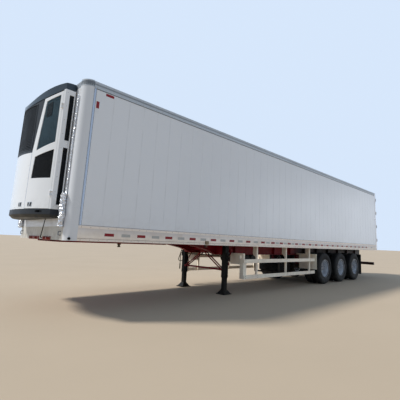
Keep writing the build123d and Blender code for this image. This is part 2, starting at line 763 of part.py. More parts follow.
def build_unit_sides(edge, pin_x, pin_y, places):
    x0, x1 = FRONT_X + UNIT_STAND_OFF, CORNER_X - UNIT_STAND_OFF
    side = block(x0, x1, edge, UNIT_HALF_WIDTH, PANEL_FOOT, UNIT_TOP)
    strip = [(edge, PANEL_FOOT), (HALF, PANEL_FOOT), (HALF, UNIT_TOP), (edge, UNIT_TOP)]
    shape = under_cap(side + band(0, UNIT_SKIN, strip))
    for z in places:
        reach = UNIT_HINGE_HEIGHT / 2 + PIN_CLEARANCE + LUG_THICKNESS
        shape = shape + Pos(pin_x, pin_y, z) * Cylinder(UNIT_KNUCKLE_PIN, 2 * reach)
        for middle in (z - reach + LUG_THICKNESS / 2, z + reach - LUG_THICKNESS / 2):
            z0, z1 = middle - LUG_THICKNESS / 2, middle + LUG_THICKNESS / 2
            lug = block(
                pin_x - UNIT_LEAF_BACK - UNIT_OUTER_SKIN, pin_x + UNIT_KNUCKLE,
                edge, UNIT_HALF_WIDTH - UNIT_LEAF_OUTER, z0, z1,
            )
            shape = shape + lug + Pos(pin_x, pin_y, middle) * Cylinder(UNIT_KNUCKLE, LUG_THICKNESS)
    vents = []
    x0 = FRONT_X + VENT_BACK
    x1 = x0 + VENT_WIDTH
    floor = UNIT_HALF_WIDTH - VENT_SINK
    upper = (UNIT_FOOT + UPPER_VENT_FOOT, UNIT_TOP - UPPER_VENT_HEAD)
    for z0, z1 in ((UNIT_FOOT + LOWER_VENT[0], UNIT_FOOT + LOWER_VENT[1]), upper):
        shape = shape - block(x0, x1, floor, UNIT_HALF_WIDTH + 1, z0, z1)
        gap = GRILLE_EDGE_GAP
        vent = block(x0 + gap, x1 - gap, floor, floor + GRILLE_PLATE, z0 + gap, z1 - gap)
        z = z0 + SLAT_PITCH
        while z < z1 - SLAT_PITCH:
            face = UNIT_HALF_WIDTH - SLAT_SINK
            vent = vent + block(x0 + gap, x1 - gap, floor, face, z, z + SLAT_HEIGHT)
            z = z + SLAT_PITCH
        vents.append(vent)
    return shape, vents


def build_unit_panels():
    edge = DOOR_EDGE + UNIT_GAP
    pin_y = DOOR_EDGE + UNIT_PIN_ASIDE
    pin_x = bow_x(pin_y) + UNIT_PIN_OUT
    places = (PANEL_FOOT + UNIT_HINGE_UP, UNIT_TOP - CAP_CORNER_HEIGHT - UNIT_HINGE_DOWN)
    side, vents = build_unit_sides(edge, pin_x, pin_y, places)
    centre_foot = UNIT_FOOT + CENTRE_FOOT_UP
    centre = [
        (-SEAM_HALF, PANEL_FOOT), (SEAM_HALF, PANEL_FOOT),
        (SEAM_HALF, centre_foot), (-SEAM_HALF, centre_foot),
    ]
    save("unit_panels", *pair(side), band(0, UNIT_SKIN, centre))
    save("unit_side_vents", *[piece for vent in vents for piece in pair(vent)])

    outline = [
        (SEAM_HALF + UNIT_GAP, PANEL_FOOT + UNIT_GAP), (DOOR_EDGE, PANEL_FOOT + UNIT_GAP),
        (DOOR_EDGE, UNIT_TOP), (SEAM_HEAD_HALF + UNIT_GAP, UNIT_TOP), (SEAM_HALF + UNIT_GAP, centre_foot),
    ]
    door = under_cap(band(0, UNIT_OUTER_SKIN, outline), CAP_GAP)
    door = door + under_cap(band(UNIT_OUTER_SKIN, UNIT_SKIN, outline), CAP_INNER_GAP)
    grilles = []
    upper = [(DOOR_EDGE - aside, UNIT_FOOT + up) for aside, up in UPPER_GRILLE_FOOT]
    upper += [(DOOR_EDGE - aside, UNIT_TOP - down) for aside, down in UPPER_GRILLE_HEAD]
    lower = [(DOOR_EDGE - aside, UNIT_FOOT + up) for aside, up in LOWER_GRILLE]
    for points in (upper, lower):
        door = door - band(-1, GRILLE_SEAT, points)
        middle_y = sum(y for y, z in points) / len(points)
        middle_z = sum(z for y, z in points) / len(points)
        gap = GRILLE_EDGE_GAP
        inset = [
            (y - math.copysign(gap, y - middle_y), z - math.copysign(gap, z - middle_z)) for y, z in points
        ]
        seat = GRILLE_SEAT - SEAT_GAP
        plate = band(seat - GRILLE_PLATE, seat, inset)
        z0, z1 = min(z for y, z in inset), max(z for y, z in inset)
        grilles.append(plate + slats(SLAT_SINK, seat - GRILLE_PLATE + 1, inset, z0, z1))
    for z in places:
        half = UNIT_HINGE_HEIGHT / 2
        door = door + Pos(pin_x, pin_y, z) * Cylinder(UNIT_KNUCKLE, UNIT_HINGE_HEIGHT)
        y0, y1 = pin_y - UNIT_LEAF_INNER, pin_y - UNIT_LEAF_OUTER
        door = door + block(pin_x - UNIT_LEAF_BACK, pin_x, y0, y1, z - half, z + half)
        bore = UNIT_KNUCKLE_PIN + PIN_CLEARANCE
        door = door - Pos(pin_x, pin_y, z) * Cylinder(bore, UNIT_HINGE_HEIGHT + 2)
    save("unit_door_left", door)
    save("unit_door_right", right(door))
    save("unit_door_grilles_left", *grilles)
    save("unit_door_grilles_right", *[right(piece) for piece in grilles])


# Frame: beams, cross members, coupler plate and kingpin

def i_beam(under):
    """A stretch of the left beam over an underside given as (x, z) points from front to rear."""
    raised = [(x, z + FLANGE) for x, z in under]
    web_head = BEAM_TOP - FLANGE
    front, rear = under[0][0], under[-1][0]
    y0, y1 = BEAM_Y - FLANGE_WIDTH / 2, BEAM_Y + FLANGE_WIDTH / 2
    beam = along_y(under + raised[::-1], y0, y1)
    web = raised + [(rear, web_head), (front, web_head)]
    beam = beam + along_y(web, BEAM_Y - WEB / 2, BEAM_Y + WEB / 2)
    return beam + block(front, rear, y0, y1, web_head, BEAM_TOP)


def build_frame():
    rear = REAR_X + REAR_FRAME_DEPTH
    web_head = BEAM_TOP - FLANGE
    y1 = BEAM_Y + FLANGE_WIDTH / 2
    neck = [(at(BEAM_START), NECK_BOTTOM), (at(NECK_END), NECK_BOTTOM)]
    save("neck_beams", *pair(i_beam(neck)))
    beam = i_beam([
        (at(NECK_END), NECK_BOTTOM), (at(NECK_MIDDLE), NECK_BOTTOM - NECK_MIDDLE_DROP),
        (at(BEAM_LEVEL), BEAM_BOTTOM), (rear, BEAM_BOTTOM),
    ])
    behind = STIFFENER_FIRST
    while behind < BOX_LENGTH - STIFFENER_PITCH / 2:
        x = at(behind)
        beam = beam + block(x, x + STIFFENER, BEAM_Y, y1, BEAM_BOTTOM + FLANGE, web_head)
        behind = behind + STIFFENER_PITCH
    save("main_beams", *pair(beam))

    section = [
        (0, 0), (CROSS_FLANGE, 0), (CROSS_FLANGE, CROSS_SHEET), (CROSS_SHEET, CROSS_SHEET),
        (CROSS_SHEET, CROSS_HEIGHT - CROSS_SHEET), (CROSS_FLANGE, CROSS_HEIGHT - CROSS_SHEET),
        (CROSS_FLANGE, CROSS_HEIGHT), (0, CROSS_HEIGHT),
    ]
    count = int((BOX_LENGTH - REAR_FRAME_DEPTH - CROSS_FIRST) / CROSS_PITCH) + 1
    members = []
    for step in range(count):
        x = at(CROSS_FIRST + step * CROSS_PITCH)
        outline = [(x + dx, BEAM_TOP + dz) for dx, dz in section]
        members.append(along_y(outline, RAIL_SHEET - HALF, HALF - RAIL_SHEET))
    save("cross_members", *members)

    plate_foot = NECK_BOTTOM - COUPLER_PLATE
    half = COUPLER_WIDTH / 2
    save(
        "coupler_plate",
        block(at(BEAM_START), at(BEAM_START + COUPLER_LENGTH), -half, half, plate_foot, NECK_BOTTOM),
    )
    shank_head = plate_foot - KINGPIN_BASE_HEIGHT
    collar_head = shank_head - KINGPIN_SHANK_HEIGHT
    profile = [
        (0, plate_foot), (KINGPIN_BASE, plate_foot), (KINGPIN_BASE, shank_head), (KINGPIN_SHANK, shank_head),
        (KINGPIN_SHANK, collar_head), (KINGPIN_COLLAR, collar_head),
        (KINGPIN_COLLAR, collar_head - KINGPIN_COLLAR_HEIGHT), (0, collar_head - KINGPIN_COLLAR_HEIGHT),
    ]
    save("kingpin", turned(profile, at(KINGPIN_BEHIND), 0))


# Wheels

def tyre_section():
    """Half a tyre's outline from bead to tread and back, as (across, radius) points."""
    half = TYRE_WIDTH / 2
    side = [
        (half - TYRE_BEAD_IN, TYRE_BORE), (half, TYRE_BORE + TYRE_WALL_UP),
        (half - TYRE_SHOULDER_DRAW, TYRE_RADIUS - TYRE_SHOULDER), (half - TYRE_SHOULDER_IN, TYRE_RADIUS),
    ]
    return [(-across, radius) for across, radius in side] + side[::-1]


def rim_section():
    """The twin rims, disc, hub and drum as one outline of (y, radius) points."""
    lip = TYRE_WIDTH / 2 - RIM_FROM_EDGE
    out, into = OUTER_WHEEL + lip, INNER_WHEEL - lip
    seat = TYRE_BORE - RIM_FIT
    well = seat - RIM_WALL
    ramp = RIM_LIP_THICKNESS + RIM_LIP_RAMP
    disc_foot = well - RIM_WALL
    drum_end = into + DRUM_INSET
    hub_end = OUTER_WHEEL + HUB_CAP_OUT
    bore = SPINDLE + RUNNING_GAP
    return [
        (out, RIM_LIP), (out - RIM_LIP_THICKNESS, RIM_LIP), (out - ramp, seat), (into + ramp, seat),
        (into + RIM_LIP_THICKNESS, RIM_LIP), (into, RIM_LIP), (into, well),
        (TWIN_CENTRE - DISC_DISH - DISC_WALL / 2, disc_foot), (TWIN_CENTRE - DISC_WALL / 2, HUB_FLANGE),
        (drum_end + DRUM_DEPTH, HUB_FLANGE), (drum_end + DRUM_DEPTH, DRUM_RADIUS), (drum_end, DRUM_RADIUS),
        (drum_end, bore), (OUTER_WHEEL + HUB_END_GAP, bore), (OUTER_WHEEL + HUB_END_GAP, 0),
        (hub_end, 0), (hub_end, HUB_CAP - HUB_SHOULDER), (hub_end - HUB_SHOULDER, HUB_CAP),
        (OUTER_WHEEL - HUB_SHOULDER, HUB_CAP), (OUTER_WHEEL - 2 * HUB_SHOULDER, HUB_RADIUS),
        (TWIN_CENTRE + DISC_WALL / 2, HUB_RADIUS), (TWIN_CENTRE + DISC_WALL / 2, HUB_FLANGE),
        (TWIN_CENTRE + DISC_DISH + DISC_WALL / 2, disc_foot), (out, well),
    ]


def build_wheels():
    tyre = tyre_section()
    rim = rim_section()
    reach = DISC_DISH + DISC_WALL
    for number in range(AXLE_COUNT):
        x = axle_at(number)
        tyres = [spun([(y + dy, r) for dy, r in tyre], x, AXLE_Z) for y in (OUTER_WHEEL, INNER_WHEEL)]
        holes = []
        for step in range(HAND_HOLE_COUNT):
            turn = 2 * math.pi * step / HAND_HOLE_COUNT
            hole_x, hole_z = x + HAND_HOLE_AT * math.sin(turn), AXLE_Z + HAND_HOLE_AT * math.cos(turn)
            ends = [(hole_x, TWIN_CENTRE + way * reach, hole_z) for way in (-1, 1)]
            holes.append(rod(*ends, HAND_HOLE))
        rims = spun(rim, x, AXLE_Z) - holes
        save(f"tyres_{number + 1}_left", *tyres)
        save(f"tyres_{number + 1}_right", *[right(piece) for piece in tyres])
        save(f"rims_{number + 1}_left", rims)
        save(f"rims_{number + 1}_right", right(rims))


# Axles, springs and hangers

def leaf_spring(x):
    """A stack of curved leaves over an axle, the longest on top."""
    middle_z = SPRING_FOOT + SPRING_RADIUS
    y = BEAM_Y - SPRING_WIDTH / 2
    spring = None
    for step, half in enumerate(LEAF_HALVES):
        outer = SPRING_RADIUS - step * LEAF
        inner = outer - LEAF
        turn = half / outer
        sine, cosine = math.sin(turn), math.cos(turn)
        low = [(x + way * outer * sine, y, middle_z - outer * cosine) for way in (-1, 1)]
        top = [(x + way * inner * sine, y, middle_z - inner * cosine) for way in (-1, 1)]
        outline = (
            ThreePointArc(low[0], (x, y, middle_z - outer), low[1]) + Line(low[1], top[1])
            + ThreePointArc(top[1], (x, y, middle_z - inner), top[0]) + Line(top[0], low[0])
        )
        leaf = extrude(make_face(outline), amount=SPRING_WIDTH, dir=(0, 1, 0))
        spring = leaf if spring is None else spring + leaf
    return spring


def build_axles():
    axles = []
    springs = []
    for number in range(AXLE_COUNT):
        x = axle_at(number)
        axle = rod((x, -OUTER_WHEEL, AXLE_Z), (x, OUTER_WHEEL, AXLE_Z), SPINDLE)
        axle = axle + rod((x, -WHEEL_INSIDE, AXLE_Z), (x, WHEEL_INSIDE, AXLE_Z), AXLE_TUBE)
        half, side = SEAT_LENGTH / 2, SEAT_WIDTH / 2
        head = SPRING_HEAD + CLAMP_GAP
        seat = block(x - half, x + half, BEAM_Y - side, BEAM_Y + side, AXLE_Z, SPRING_FOOT)
        seat = seat + block(x - half, x + half, BEAM_Y - side, BEAM_Y + side, head, head + CLAMP_PLATE)
        for dx in (-CLAMP_ALONG, CLAMP_ALONG):
            for dy in (-CLAMP_ASIDE, CLAMP_ASIDE):
                foot = (x + dx, BEAM_Y + dy, SPRING_FOOT - 1)
                seat = seat + rod(foot, (x + dx, BEAM_Y + dy, head + 2 * CLAMP_PLATE), CLAMP_ROD)
        chamber_x, chamber_z = x - AXLE_TUBE - CHAMBER_BEHIND, AXLE_Z + CHAMBER_UP
        front = chamber_x + CHAMBER_BRACKET
        ends = [(front - run, CHAMBER_Y, chamber_z) for run in (0, CHAMBER_LENGTH)]
        chamber = rod(*ends, CHAMBER_RADIUS)
        y0, y1 = CHAMBER_Y - CHAMBER_BRACKET, CHAMBER_Y + CHAMBER_BRACKET
        bracket = block(front, x, y0, y1, AXLE_Z - CAM_SHAFT, chamber_z + CAM_SHAFT)
        cam_x = x - CAM_SHAFT_BEHIND
        shaft = rod((cam_x, CHAMBER_Y, AXLE_Z), (cam_x, WHEEL_INSIDE - UNIT_GAP, AXLE_Z), CAM_SHAFT)
        side = seat + chamber + bracket + shaft
        axles.append(axle + side + right(side))
        springs += pair(leaf_spring(x))
    save("axles", *axles)
    save("springs", *springs)

    top_radius = SPRING_RADIUS - LEAF * len(LEAF_HALVES)
    turn = LEAF_HALVES[-1] / (top_radius + LEAF)
    foot = SPRING_FOOT + SPRING_RADIUS - top_radius * math.cos(turn) + SEAT_GAP
    hangers = []
    for number in range(AXLE_COUNT + 1):
        x = axle_at(number - 0.5)
        half, side = HANGER_LENGTH / 2, HANGER_WIDTH / 2
        hanger = block(x - half, x + half, BEAM_Y - side, BEAM_Y + side, foot, BEAM_BOTTOM)
        for y0 in (BEAM_Y - side, BEAM_Y + side - CHEEK):
            hanger = hanger + block(x - half, x + half, y0, y0 + CHEEK, foot - CHEEK_DROP, foot)
        hangers += pair(hanger)
    save("spring_hangers", *hangers)


# Landing legs

def build_legs():
    x = at(LEG_BEHIND)
    half = LEG_SIZE / 2
    leg = block(x - half, x + half, LEG_Y - half, LEG_Y + half, LEG_SLEEVE_FOOT, LEG_TOP)
    slack = INNER_LEG_SIZE / 2 + RUNNING_GAP
    sleeve_head = LEG_SLEEVE_FOOT + LEG_OVERLAP
    leg = leg - block(x - slack, x + slack, LEG_Y - slack, LEG_Y + slack, LEG_SLEEVE_FOOT, sleeve_head)
    gear = GEARBOX_LENGTH / 2
    face = LEG_Y + half
    leg = leg + block(x - gear, x + gear, face, face + GEARBOX_WIDTH, GEARBOX_FOOT, GEARBOX_HEAD)
    inner = INNER_LEG_SIZE / 2
    slider = block(x - inner, x + inner, LEG_Y - inner, LEG_Y + inner, FOOT_HEIGHT, sleeve_head)
    low = FOOT_SIZE - 2 * FOOT_INSET
    pyramid = loft([
        Plane((x, LEG_Y, FOOT_PAD)) * Rectangle(low, low),
        Plane((x, LEG_Y, FOOT_HEIGHT)) * Rectangle(INNER_LEG_SIZE, INNER_LEG_SIZE),
    ])
    reach = FOOT_SIZE / 2
    pad = block(x - reach, x + reach, LEG_Y - reach, LEG_Y + reach, 0, FOOT_PAD)
    save("landing_legs", *pair(leg), *pair(slider + pyramid + pad))

    half_x = BRACKET_LENGTH / 2
    bracket = block(
        x - half_x, x + half_x, BEAM_Y + WEB / 2, LEG_Y - half, BEAM_BOTTOM + FLANGE, BEAM_TOP - FLANGE
    )
    plate = REAR_BRACE_PLATE / 2
    plate_x, plate_y = at(REAR_BRACE_BEHIND), BEAM_Y + WEB / 2
    head = block(
        plate_x - plate, plate_x + plate, plate_y, REAR_BRACE_HEAD_Y + BRACE_RADIUS,
        REAR_BRACE_HEAD_Z - plate, REAR_BRACE_HEAD_Z + plate,
    )
    start = (x - half - BRACE_RADIUS, LEG_Y, REAR_BRACE_FOOT_Z)
    foot = block(
        x - half - 2 * BRACE_RADIUS, x - half, LEG_Y - plate, LEG_Y + half,
        REAR_BRACE_FOOT_Z - plate, REAR_BRACE_FOOT_Z + plate,
    )
    strut = rod(start, (plate_x, REAR_BRACE_HEAD_Y, REAR_BRACE_HEAD_Z), BRACE_RADIUS)
    rear_brace = head + foot + strut
    web = BEAM_Y - WEB / 2
    tie_foot = BEAM_BOTTOM + TIE_UP
    braces = block(x - TIE_WIDTH / 2, x + TIE_WIDTH / 2, -web, web, tie_foot, tie_foot + TIE_HEIGHT)
    braces = braces + block(
        x - KNEE_LENGTH / 2, x + KNEE_LENGTH / 2, -TIE_PAD / 2, TIE_PAD / 2,
        tie_foot - TIE_PAD_HEIGHT, tie_foot,
    )
    near = LEG_Y - half
    braces = braces + rod((x, -near, CROSS_TUBE_Z), (x, near, CROSS_TUBE_Z), CROSS_TUBE_RADIUS)
    for dx in (-BRACE_APART, BRACE_APART):
        start = (x + dx, near - KNEE_WIDTH / 2, BRACE_FOOT_Z)
        strut = rod(start, (x + dx, BRACE_HEAD_Y, BRACE_HEAD_Z), BRACE_RADIUS)
        braces = braces + strut + right(strut)
    knee = block(
        x - KNEE_LENGTH / 2, x + KNEE_LENGTH / 2, near - KNEE_WIDTH, near,
        CROSS_TUBE_Z - KNEE_HEIGHT / 2, CROSS_TUBE_Z + KNEE_HEIGHT / 2,
    )
    save("leg_braces", braces + knee + right(knee), *pair(bracket), *pair(rear_brace))

    gear_face = face + GEARBOX_WIDTH
    shaft = rod((x, -near, SHAFT_Z), (x, near, SHAFT_Z), SHAFT_RADIUS)
    stub = rod((x, gear_face, SHAFT_Z), (x, gear_face + SHAFT_STUB, SHAFT_Z), SHAFT_RADIUS)
    crank_y = gear_face + CRANK_OUT
    crank = bent(
        [(x, gear_face, SHAFT_Z), (x, crank_y, SHAFT_Z), (x, crank_y, CRANK_FOOT)],
        CRANK_RADIUS, CRANK_BEND_RADIUS,
    )
    grip_head = CRANK_FOOT + CRANK_GRIP_LENGTH
    crank = crank + rod((x, crank_y, CRANK_FOOT), (x, crank_y, grip_head), CRANK_GRIP_RADIUS)
    stay_x, stay_y = x - STAY_BACK, face + STAY_OUT
    stay_head = (stay_x, stay_y - STAY_HEAD_IN, DECK_BOTTOM)
    stay = bent(
        [(stay_x, face, STAY_Z), (stay_x, stay_y, STAY_Z), stay_head],
        CRANK_RADIUS, CRANK_BEND_RADIUS,
    )
    seat_z = DECK_BOTTOM - SEAT_GAP
    stay = stay - block(stay_x - SPARE, stay_x + SPARE, 0, HALF, seat_z, seat_z + SPARE)
    save("leg_shaft", shaft, stub, right(stub + crank), right(stay))


# Side guards, splash plates, tanks, spare wheels, flaps and rear bar

def build_guards():
    rear_end = at(AXLE_FIRST - GUARD_TO_AXLE)
    back = GUARD_Y - GUARD_RAIL_THICKNESS
    half = GUARD_RAIL_HEIGHT / 2
    low = GUARD_LOWER - half
    front_post = at(GUARD_FRONT), at(GUARD_FRONT + GUARD_FRONT_POST)
    head = GUARD_UPPER + half
    arm = BEAM_BOTTOM + FLANGE
    web = BEAM_Y + WEB / 2
    inner = front_post[0] - GUARD_POST
    guard = block(*front_post, back - GUARD_FRONT_POST_DEPTH, back, low, head)
    guard = guard + block(inner, front_post[0], back - GUARD_POST, back, head, arm + GUARD_ARM_HEIGHT)
    guard = guard + block(inner, front_post[0], web, back, arm, arm + GUARD_ARM_HEIGHT)
    guard = guard + block(
        front_post[0] - VALVE_BOX_LENGTH, front_post[0], VALVE_BOX_INNER, VALVE_BOX_OUTER, VALVE_BOX_FOOT, arm
    )
    for z in (GUARD_UPPER, GUARD_LOWER):
        guard = guard + block(at(GUARD_FRONT), rear_end, back, GUARD_Y, z - half, z + half)
    places = []
    for member in GUARD_MEMBERS:
        rear = at(CROSS_FIRST + member * CROSS_PITCH)
        guard = guard + block(rear, rear + CROSS_FLANGE, back - GUARD_POST, back, low, BEAM_TOP)
        places.append(rear)
    seat = back - GUARD_POST + GUSSET_SEAT
    for rear in places:
        edge = back - GUSSET_REACH
        gusset = [(seat, GUSSET_FOOT), (seat, BEAM_TOP), (edge, BEAM_TOP), (edge, GUSSET_BEND)]
        guard = guard + along_x(gusset, rear, rear + GUSSET_SHEET)
    save("side_guards", *pair(guard))

    x = at(AXLE_FIRST - SPLASH_TO_AXLE)
    web, edge = BEAM_Y + WEB / 2, HALF - SIDE_INSET
    arm_z = BEAM_BOTTOM + FLANGE
    plate = block(x, x + SPLASH_SHEET, SPLASH_INNER, edge, SPLASH_FOOT, arm_z + ARM_SIZE)
    arm = block(x + SPLASH_SHEET, x + SPLASH_SHEET + ARM_SIZE, web, edge, arm_z, arm_z + ARM_SIZE)
    save("splash_plates", *pair(plate + arm))
    x = at(AXLE_FIRST + (AXLE_COUNT - 1) * AXLE_SPACING + FLAP_TO_AXLE)
    flap = block(x, x - FLAP_THICKNESS, WHEEL_INSIDE, edge, FLAP_FOOT, arm_z + ARM_SIZE)
    arm = block(x, x + ARM_SIZE, web, edge, arm_z, arm_z + ARM_SIZE)
    save("mud_flaps", *pair(flap + arm))
    x = REAR_X + REAR_BAR_FORWARD
    half, depth = REAR_BAR_HEIGHT / 2, REAR_BAR_DEPTH / 2
    reach = HALF - REAR_BAR_INSET
    bar = block(x - depth, x + depth, -reach, reach, REAR_BAR_Z - half, REAR_BAR_Z + half)
    post = REAR_BAR_POST / 2
    for y in (-BEAM_Y, BEAM_Y):
        bar = bar + block(x - post, x + post, y - post, y + post, REAR_BAR_Z, BEAM_BOTTOM)
    save("rear_bar", bar)


def build_tanks_and_spares():
    tanks = []
    for behind in TANKS:
        half = TANK_LENGTH / 2
        rim = TANK_RADIUS - TANK_DOME
        outline = [
            (-half, 0), (-half, rim), (-half + TANK_DOME, TANK_RADIUS),
            (half - TANK_DOME, TANK_RADIUS), (half, rim), (half, 0),
        ]
        tanks.append(spun(outline, at(behind), BEAM_BOTTOM - TANK_RADIUS))
    save("air_tanks", *tanks)

    z = SPARE_BOTTOM + TYRE_WIDTH / 2
    x = at(SPARE_BEHIND)
    half = TYRE_WIDTH / 2 - RIM_FROM_EDGE
    seat = TYRE_BORE - RIM_FIT
    save("spare_tyre", turned([(r, z + dy) for dy, r in tyre_section()], x, 0))
    save("spare_rim", turned([
        (seat, z - half), (seat, z + half), (seat - RIM_WALL, z + half),
        (seat - RIM_WALL, z + SPARE_DISC), (SPARE_DISC_HOLE, z + SPARE_DISC), (SPARE_DISC_HOLE, z),
        (seat - RIM_WALL, z), (seat - RIM_WALL, z - half),
    ], x, 0))
    places = (SPARE_BEHIND - CARRIER_END, SPARE_BEHIND + CARRIER_END)
    half = CARRIER_BAR / 2
    z0, z1 = SPARE_BOTTOM - CARRIER_BAR, SPARE_BOTTOM
    rail = block(at(places[0]), at(places[-1]), CARRIER_RAIL_Y - half, CARRIER_RAIL_Y + half, z0, z1)
    frame = rail + right(rail)
    for behind in places:
        x = at(behind)
        frame = frame + block(x - half, x + half, -BEAM_Y - half, BEAM_Y + half, z0, z1)
        for y in (-BEAM_Y, BEAM_Y):
            frame = frame + block(x - half, x + half, y - half, y + half, z0, BEAM_BOTTOM)
    save("spare_carrier", frame)


# Front wall fittings and lamps

def build_front_fittings():
    plate_x = at(0) + PLATE_THICKNESS
    foot = RAIL_FOOT - PLATE_DROP
    middle = foot + PLATE_HEIGHT / 2
    plates = []
    for y0, y1 in COUPLING_PLATES:
        plate = block(at(0), plate_x, y0, y1, foot, foot + PLATE_HEIGHT)
        for y, radius, length in COUPLINGS:
            if y0 < y < y1:
                plate = plate + rod((plate_x, y, middle), (plate_x + length, y, middle), radius)
        plates.append(plate)
    low, high = GRIP_FOOT, GRIP_FOOT + GRIP_HEIGHT
    grip_x = at(0) + GRIP_OUT
    grip = bent(
        [(at(0), GRIP_Y, low), (grip_x, GRIP_Y, low), (grip_x, GRIP_Y, high), (at(0), GRIP_Y, high)],
        GRIP_RADIUS, 2 * GRIP_RADIUS,
    )
    save("couplings", *plates, *pair(grip))

    x = at(0) + CONDUIT_STAND + CONDUIT_RADIUS
    conduit = bent([(x, y, z) for y, z in CONDUIT_BENDS], CONDUIT_RADIUS, CONDUIT_BEND)
    for y, z in CLIPS:
        side = CONDUIT_RADIUS + CLIP_ASIDE
        conduit = conduit + block(at(0), x, y - side, y + side, z - CLIP_HEIGHT / 2, z + CLIP_HEIGHT / 2)
    x = at(0) + SEAT_GAP + WRAP_RADIUS
    wrap = bent([(x, y, z) for y, z in WRAP_BENDS], WRAP_RADIUS, WRAP_BEND)
    save("conduits", *pair(conduit + wrap))
    x = at(0) + DRAIN_OUT
    drain_foot = (at(0) + PLATE_THICKNESS, DRAIN_Y, middle)
    drain_head = (x, DRAIN_HEAD_Y, UNIT_FOOT + DRAIN_RADIUS)
    drain = bent([drain_head, (x, DRAIN_Y, middle), drain_foot], DRAIN_RADIUS, DRAIN_BEND)
    save("drain_pipe", drain - block(at(0), NOSE_X, 0, HALF, UNIT_FOOT, UNIT_FOOT + SPARE))


def build_lamps():
    lamps = []
    x = at(SIDE_LAMP_BEHIND)
    half = SIDE_LAMP_LENGTH / 2
    z = SIDE_LAMP_Z - SIDE_LAMP_HEIGHT / 2
    lamps += pair(block(x - half, x + half, HALF, HALF + SIDE_LAMP_PROUD, z, z + SIDE_LAMP_HEIGHT))
    edge = HALF - RAIL_SHEET
    foot = RAIL_FOOT - HUNG_LAMP_DROP
    lamps += pair(block(x - half, x + half, edge - HUNG_LAMP_WIDTH, edge, foot, RAIL_FOOT))
    turn = math.radians(POST_LAMP_ANGLE)
    way = (math.cos(turn), math.sin(turn))
    reach = POST_RADIUS + SEAT_GAP
    start = (at(POST_RADIUS) + reach * way[0], HALF - POST_RADIUS + reach * way[1], POST_LAMP_Z)
    end = (start[0] + POST_LAMP_PROUD * way[0], start[1] + POST_LAMP_PROUD * way[1], POST_LAMP_Z)
    lamps += pair(rod(start, end, POST_LAMP_RADIUS))
    z = RAIL_FOOT + TAIL_LAMP_UP
    for step in range(TAIL_LAMP_COUNT):
        y = HALF - TAIL_LAMP_FIRST - step * TAIL_LAMP_PITCH
        lamps += pair(rod((REAR_X, y, z), (REAR_X - TAIL_LAMP_PROUD, y, z), TAIL_LAMP_RADIUS))
    save("lamps", *lamps)


os.makedirs("parts", exist_ok=True)
build_walls()
build_roof_and_deck()
build_rear()
build_cap()
build_unit_body()
build_unit_centre()
build_unit_panels()
build_frame()
build_wheels()
build_axles()
build_legs()
build_guards()
build_tanks_and_spares()
build_front_fittings()
build_lamps()
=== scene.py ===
import json
import math
import bpy
from mathutils import Matrix, Vector, noise


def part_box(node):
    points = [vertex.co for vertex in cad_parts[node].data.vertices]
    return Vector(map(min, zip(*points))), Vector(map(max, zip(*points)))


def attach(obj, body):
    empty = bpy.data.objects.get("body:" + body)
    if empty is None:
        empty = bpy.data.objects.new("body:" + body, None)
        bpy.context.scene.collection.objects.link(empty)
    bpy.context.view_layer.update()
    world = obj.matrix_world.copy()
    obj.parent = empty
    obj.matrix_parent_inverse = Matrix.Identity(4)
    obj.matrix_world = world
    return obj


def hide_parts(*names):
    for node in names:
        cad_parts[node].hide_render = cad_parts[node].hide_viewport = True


bl_info = {
    "name": "Refrigerated semi trailer",
    "version": (1, 0, 0),
    "blender": (4, 5, 0),
    "location": "View3D > Sidebar > Trailer",
    "description": "Finishes and fine detail for the refrigerated semi trailer",
    "category": "Add Mesh",
}

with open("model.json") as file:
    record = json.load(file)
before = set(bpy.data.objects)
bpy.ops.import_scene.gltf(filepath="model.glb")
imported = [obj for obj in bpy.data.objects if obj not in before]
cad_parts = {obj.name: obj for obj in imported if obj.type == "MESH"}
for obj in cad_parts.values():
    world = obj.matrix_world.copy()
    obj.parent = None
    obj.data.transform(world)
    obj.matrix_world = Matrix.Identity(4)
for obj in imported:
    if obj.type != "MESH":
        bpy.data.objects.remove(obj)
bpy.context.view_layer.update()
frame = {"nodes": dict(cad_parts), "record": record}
NODES = frame["nodes"]
RECORD = frame["record"]

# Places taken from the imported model, in metres
REAR_FRAME_DEPTH = 0.12
FRONT_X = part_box("front_sill")[1][0]
REAR_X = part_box("bottom_rails")[0][0] - REAR_FRAME_DEPTH
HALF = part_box("bottom_rails")[1][1]
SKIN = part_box("walls")[1][1]
RAIL_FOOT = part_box("bottom_rails")[0][2]
RAIL_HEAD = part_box("bottom_rails")[1][2]
TOP_RAIL_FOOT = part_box("top_rails")[0][2]
ROOF_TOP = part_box("roof")[1][2]
POST_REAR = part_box("corner_posts")[0][0]
FRONT_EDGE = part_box("front_sill")[1][1]
SIDES = (("left", 1), ("right", -1))
AXLES = (1, 2, 3)

# Directions and bodies that many pieces share
AHEAD = (1, 0, 0)
BEHIND = (-1, 0, 0)
OUTWARD = (0, 1, 0)
UPWARD = (0, 0, 1)
SERVICE_DOOR = "unit_service_door_{side}"
REAR_DOOR = "rear_door_{side}"

# Thin strips, in metres: depth of their backs under the surface, and how far they stand out
SINK = 0.001
TAPE_RISE = 0.0006
SEAM_RISE = 0.0008

# Wall and roof, in metres: first seam and first lap behind the front, and length of a roof sheet
FIRST_SEAM = 0.537
FIRST_LAP = 0.25
ROOF_SHEET = 1.22

# Red tapes on the bottom rails, in metres: half a tape's length, its middle above the rail's foot,
# and the runs as (first middle behind the front, spacing, count)
TAPE_REACH = 0.085
TAPE_LEVEL = 0.115
TAPE_RUNS = ((0.692, 0.6208, 8), (5.503, 0.4182, 18))

# Tyre, in metres: half its width, radius of the tread, drop between shoulder blocks, middles of
# the grooves across it, and the count of steps around it
TYRE_HALF = 0.139
TREAD_RADIUS = 0.5245
BLOCK_DROP = 0.006
GROOVES = (-0.058, -0.019, 0.019, 0.058)
TREAD_STEPS = 168

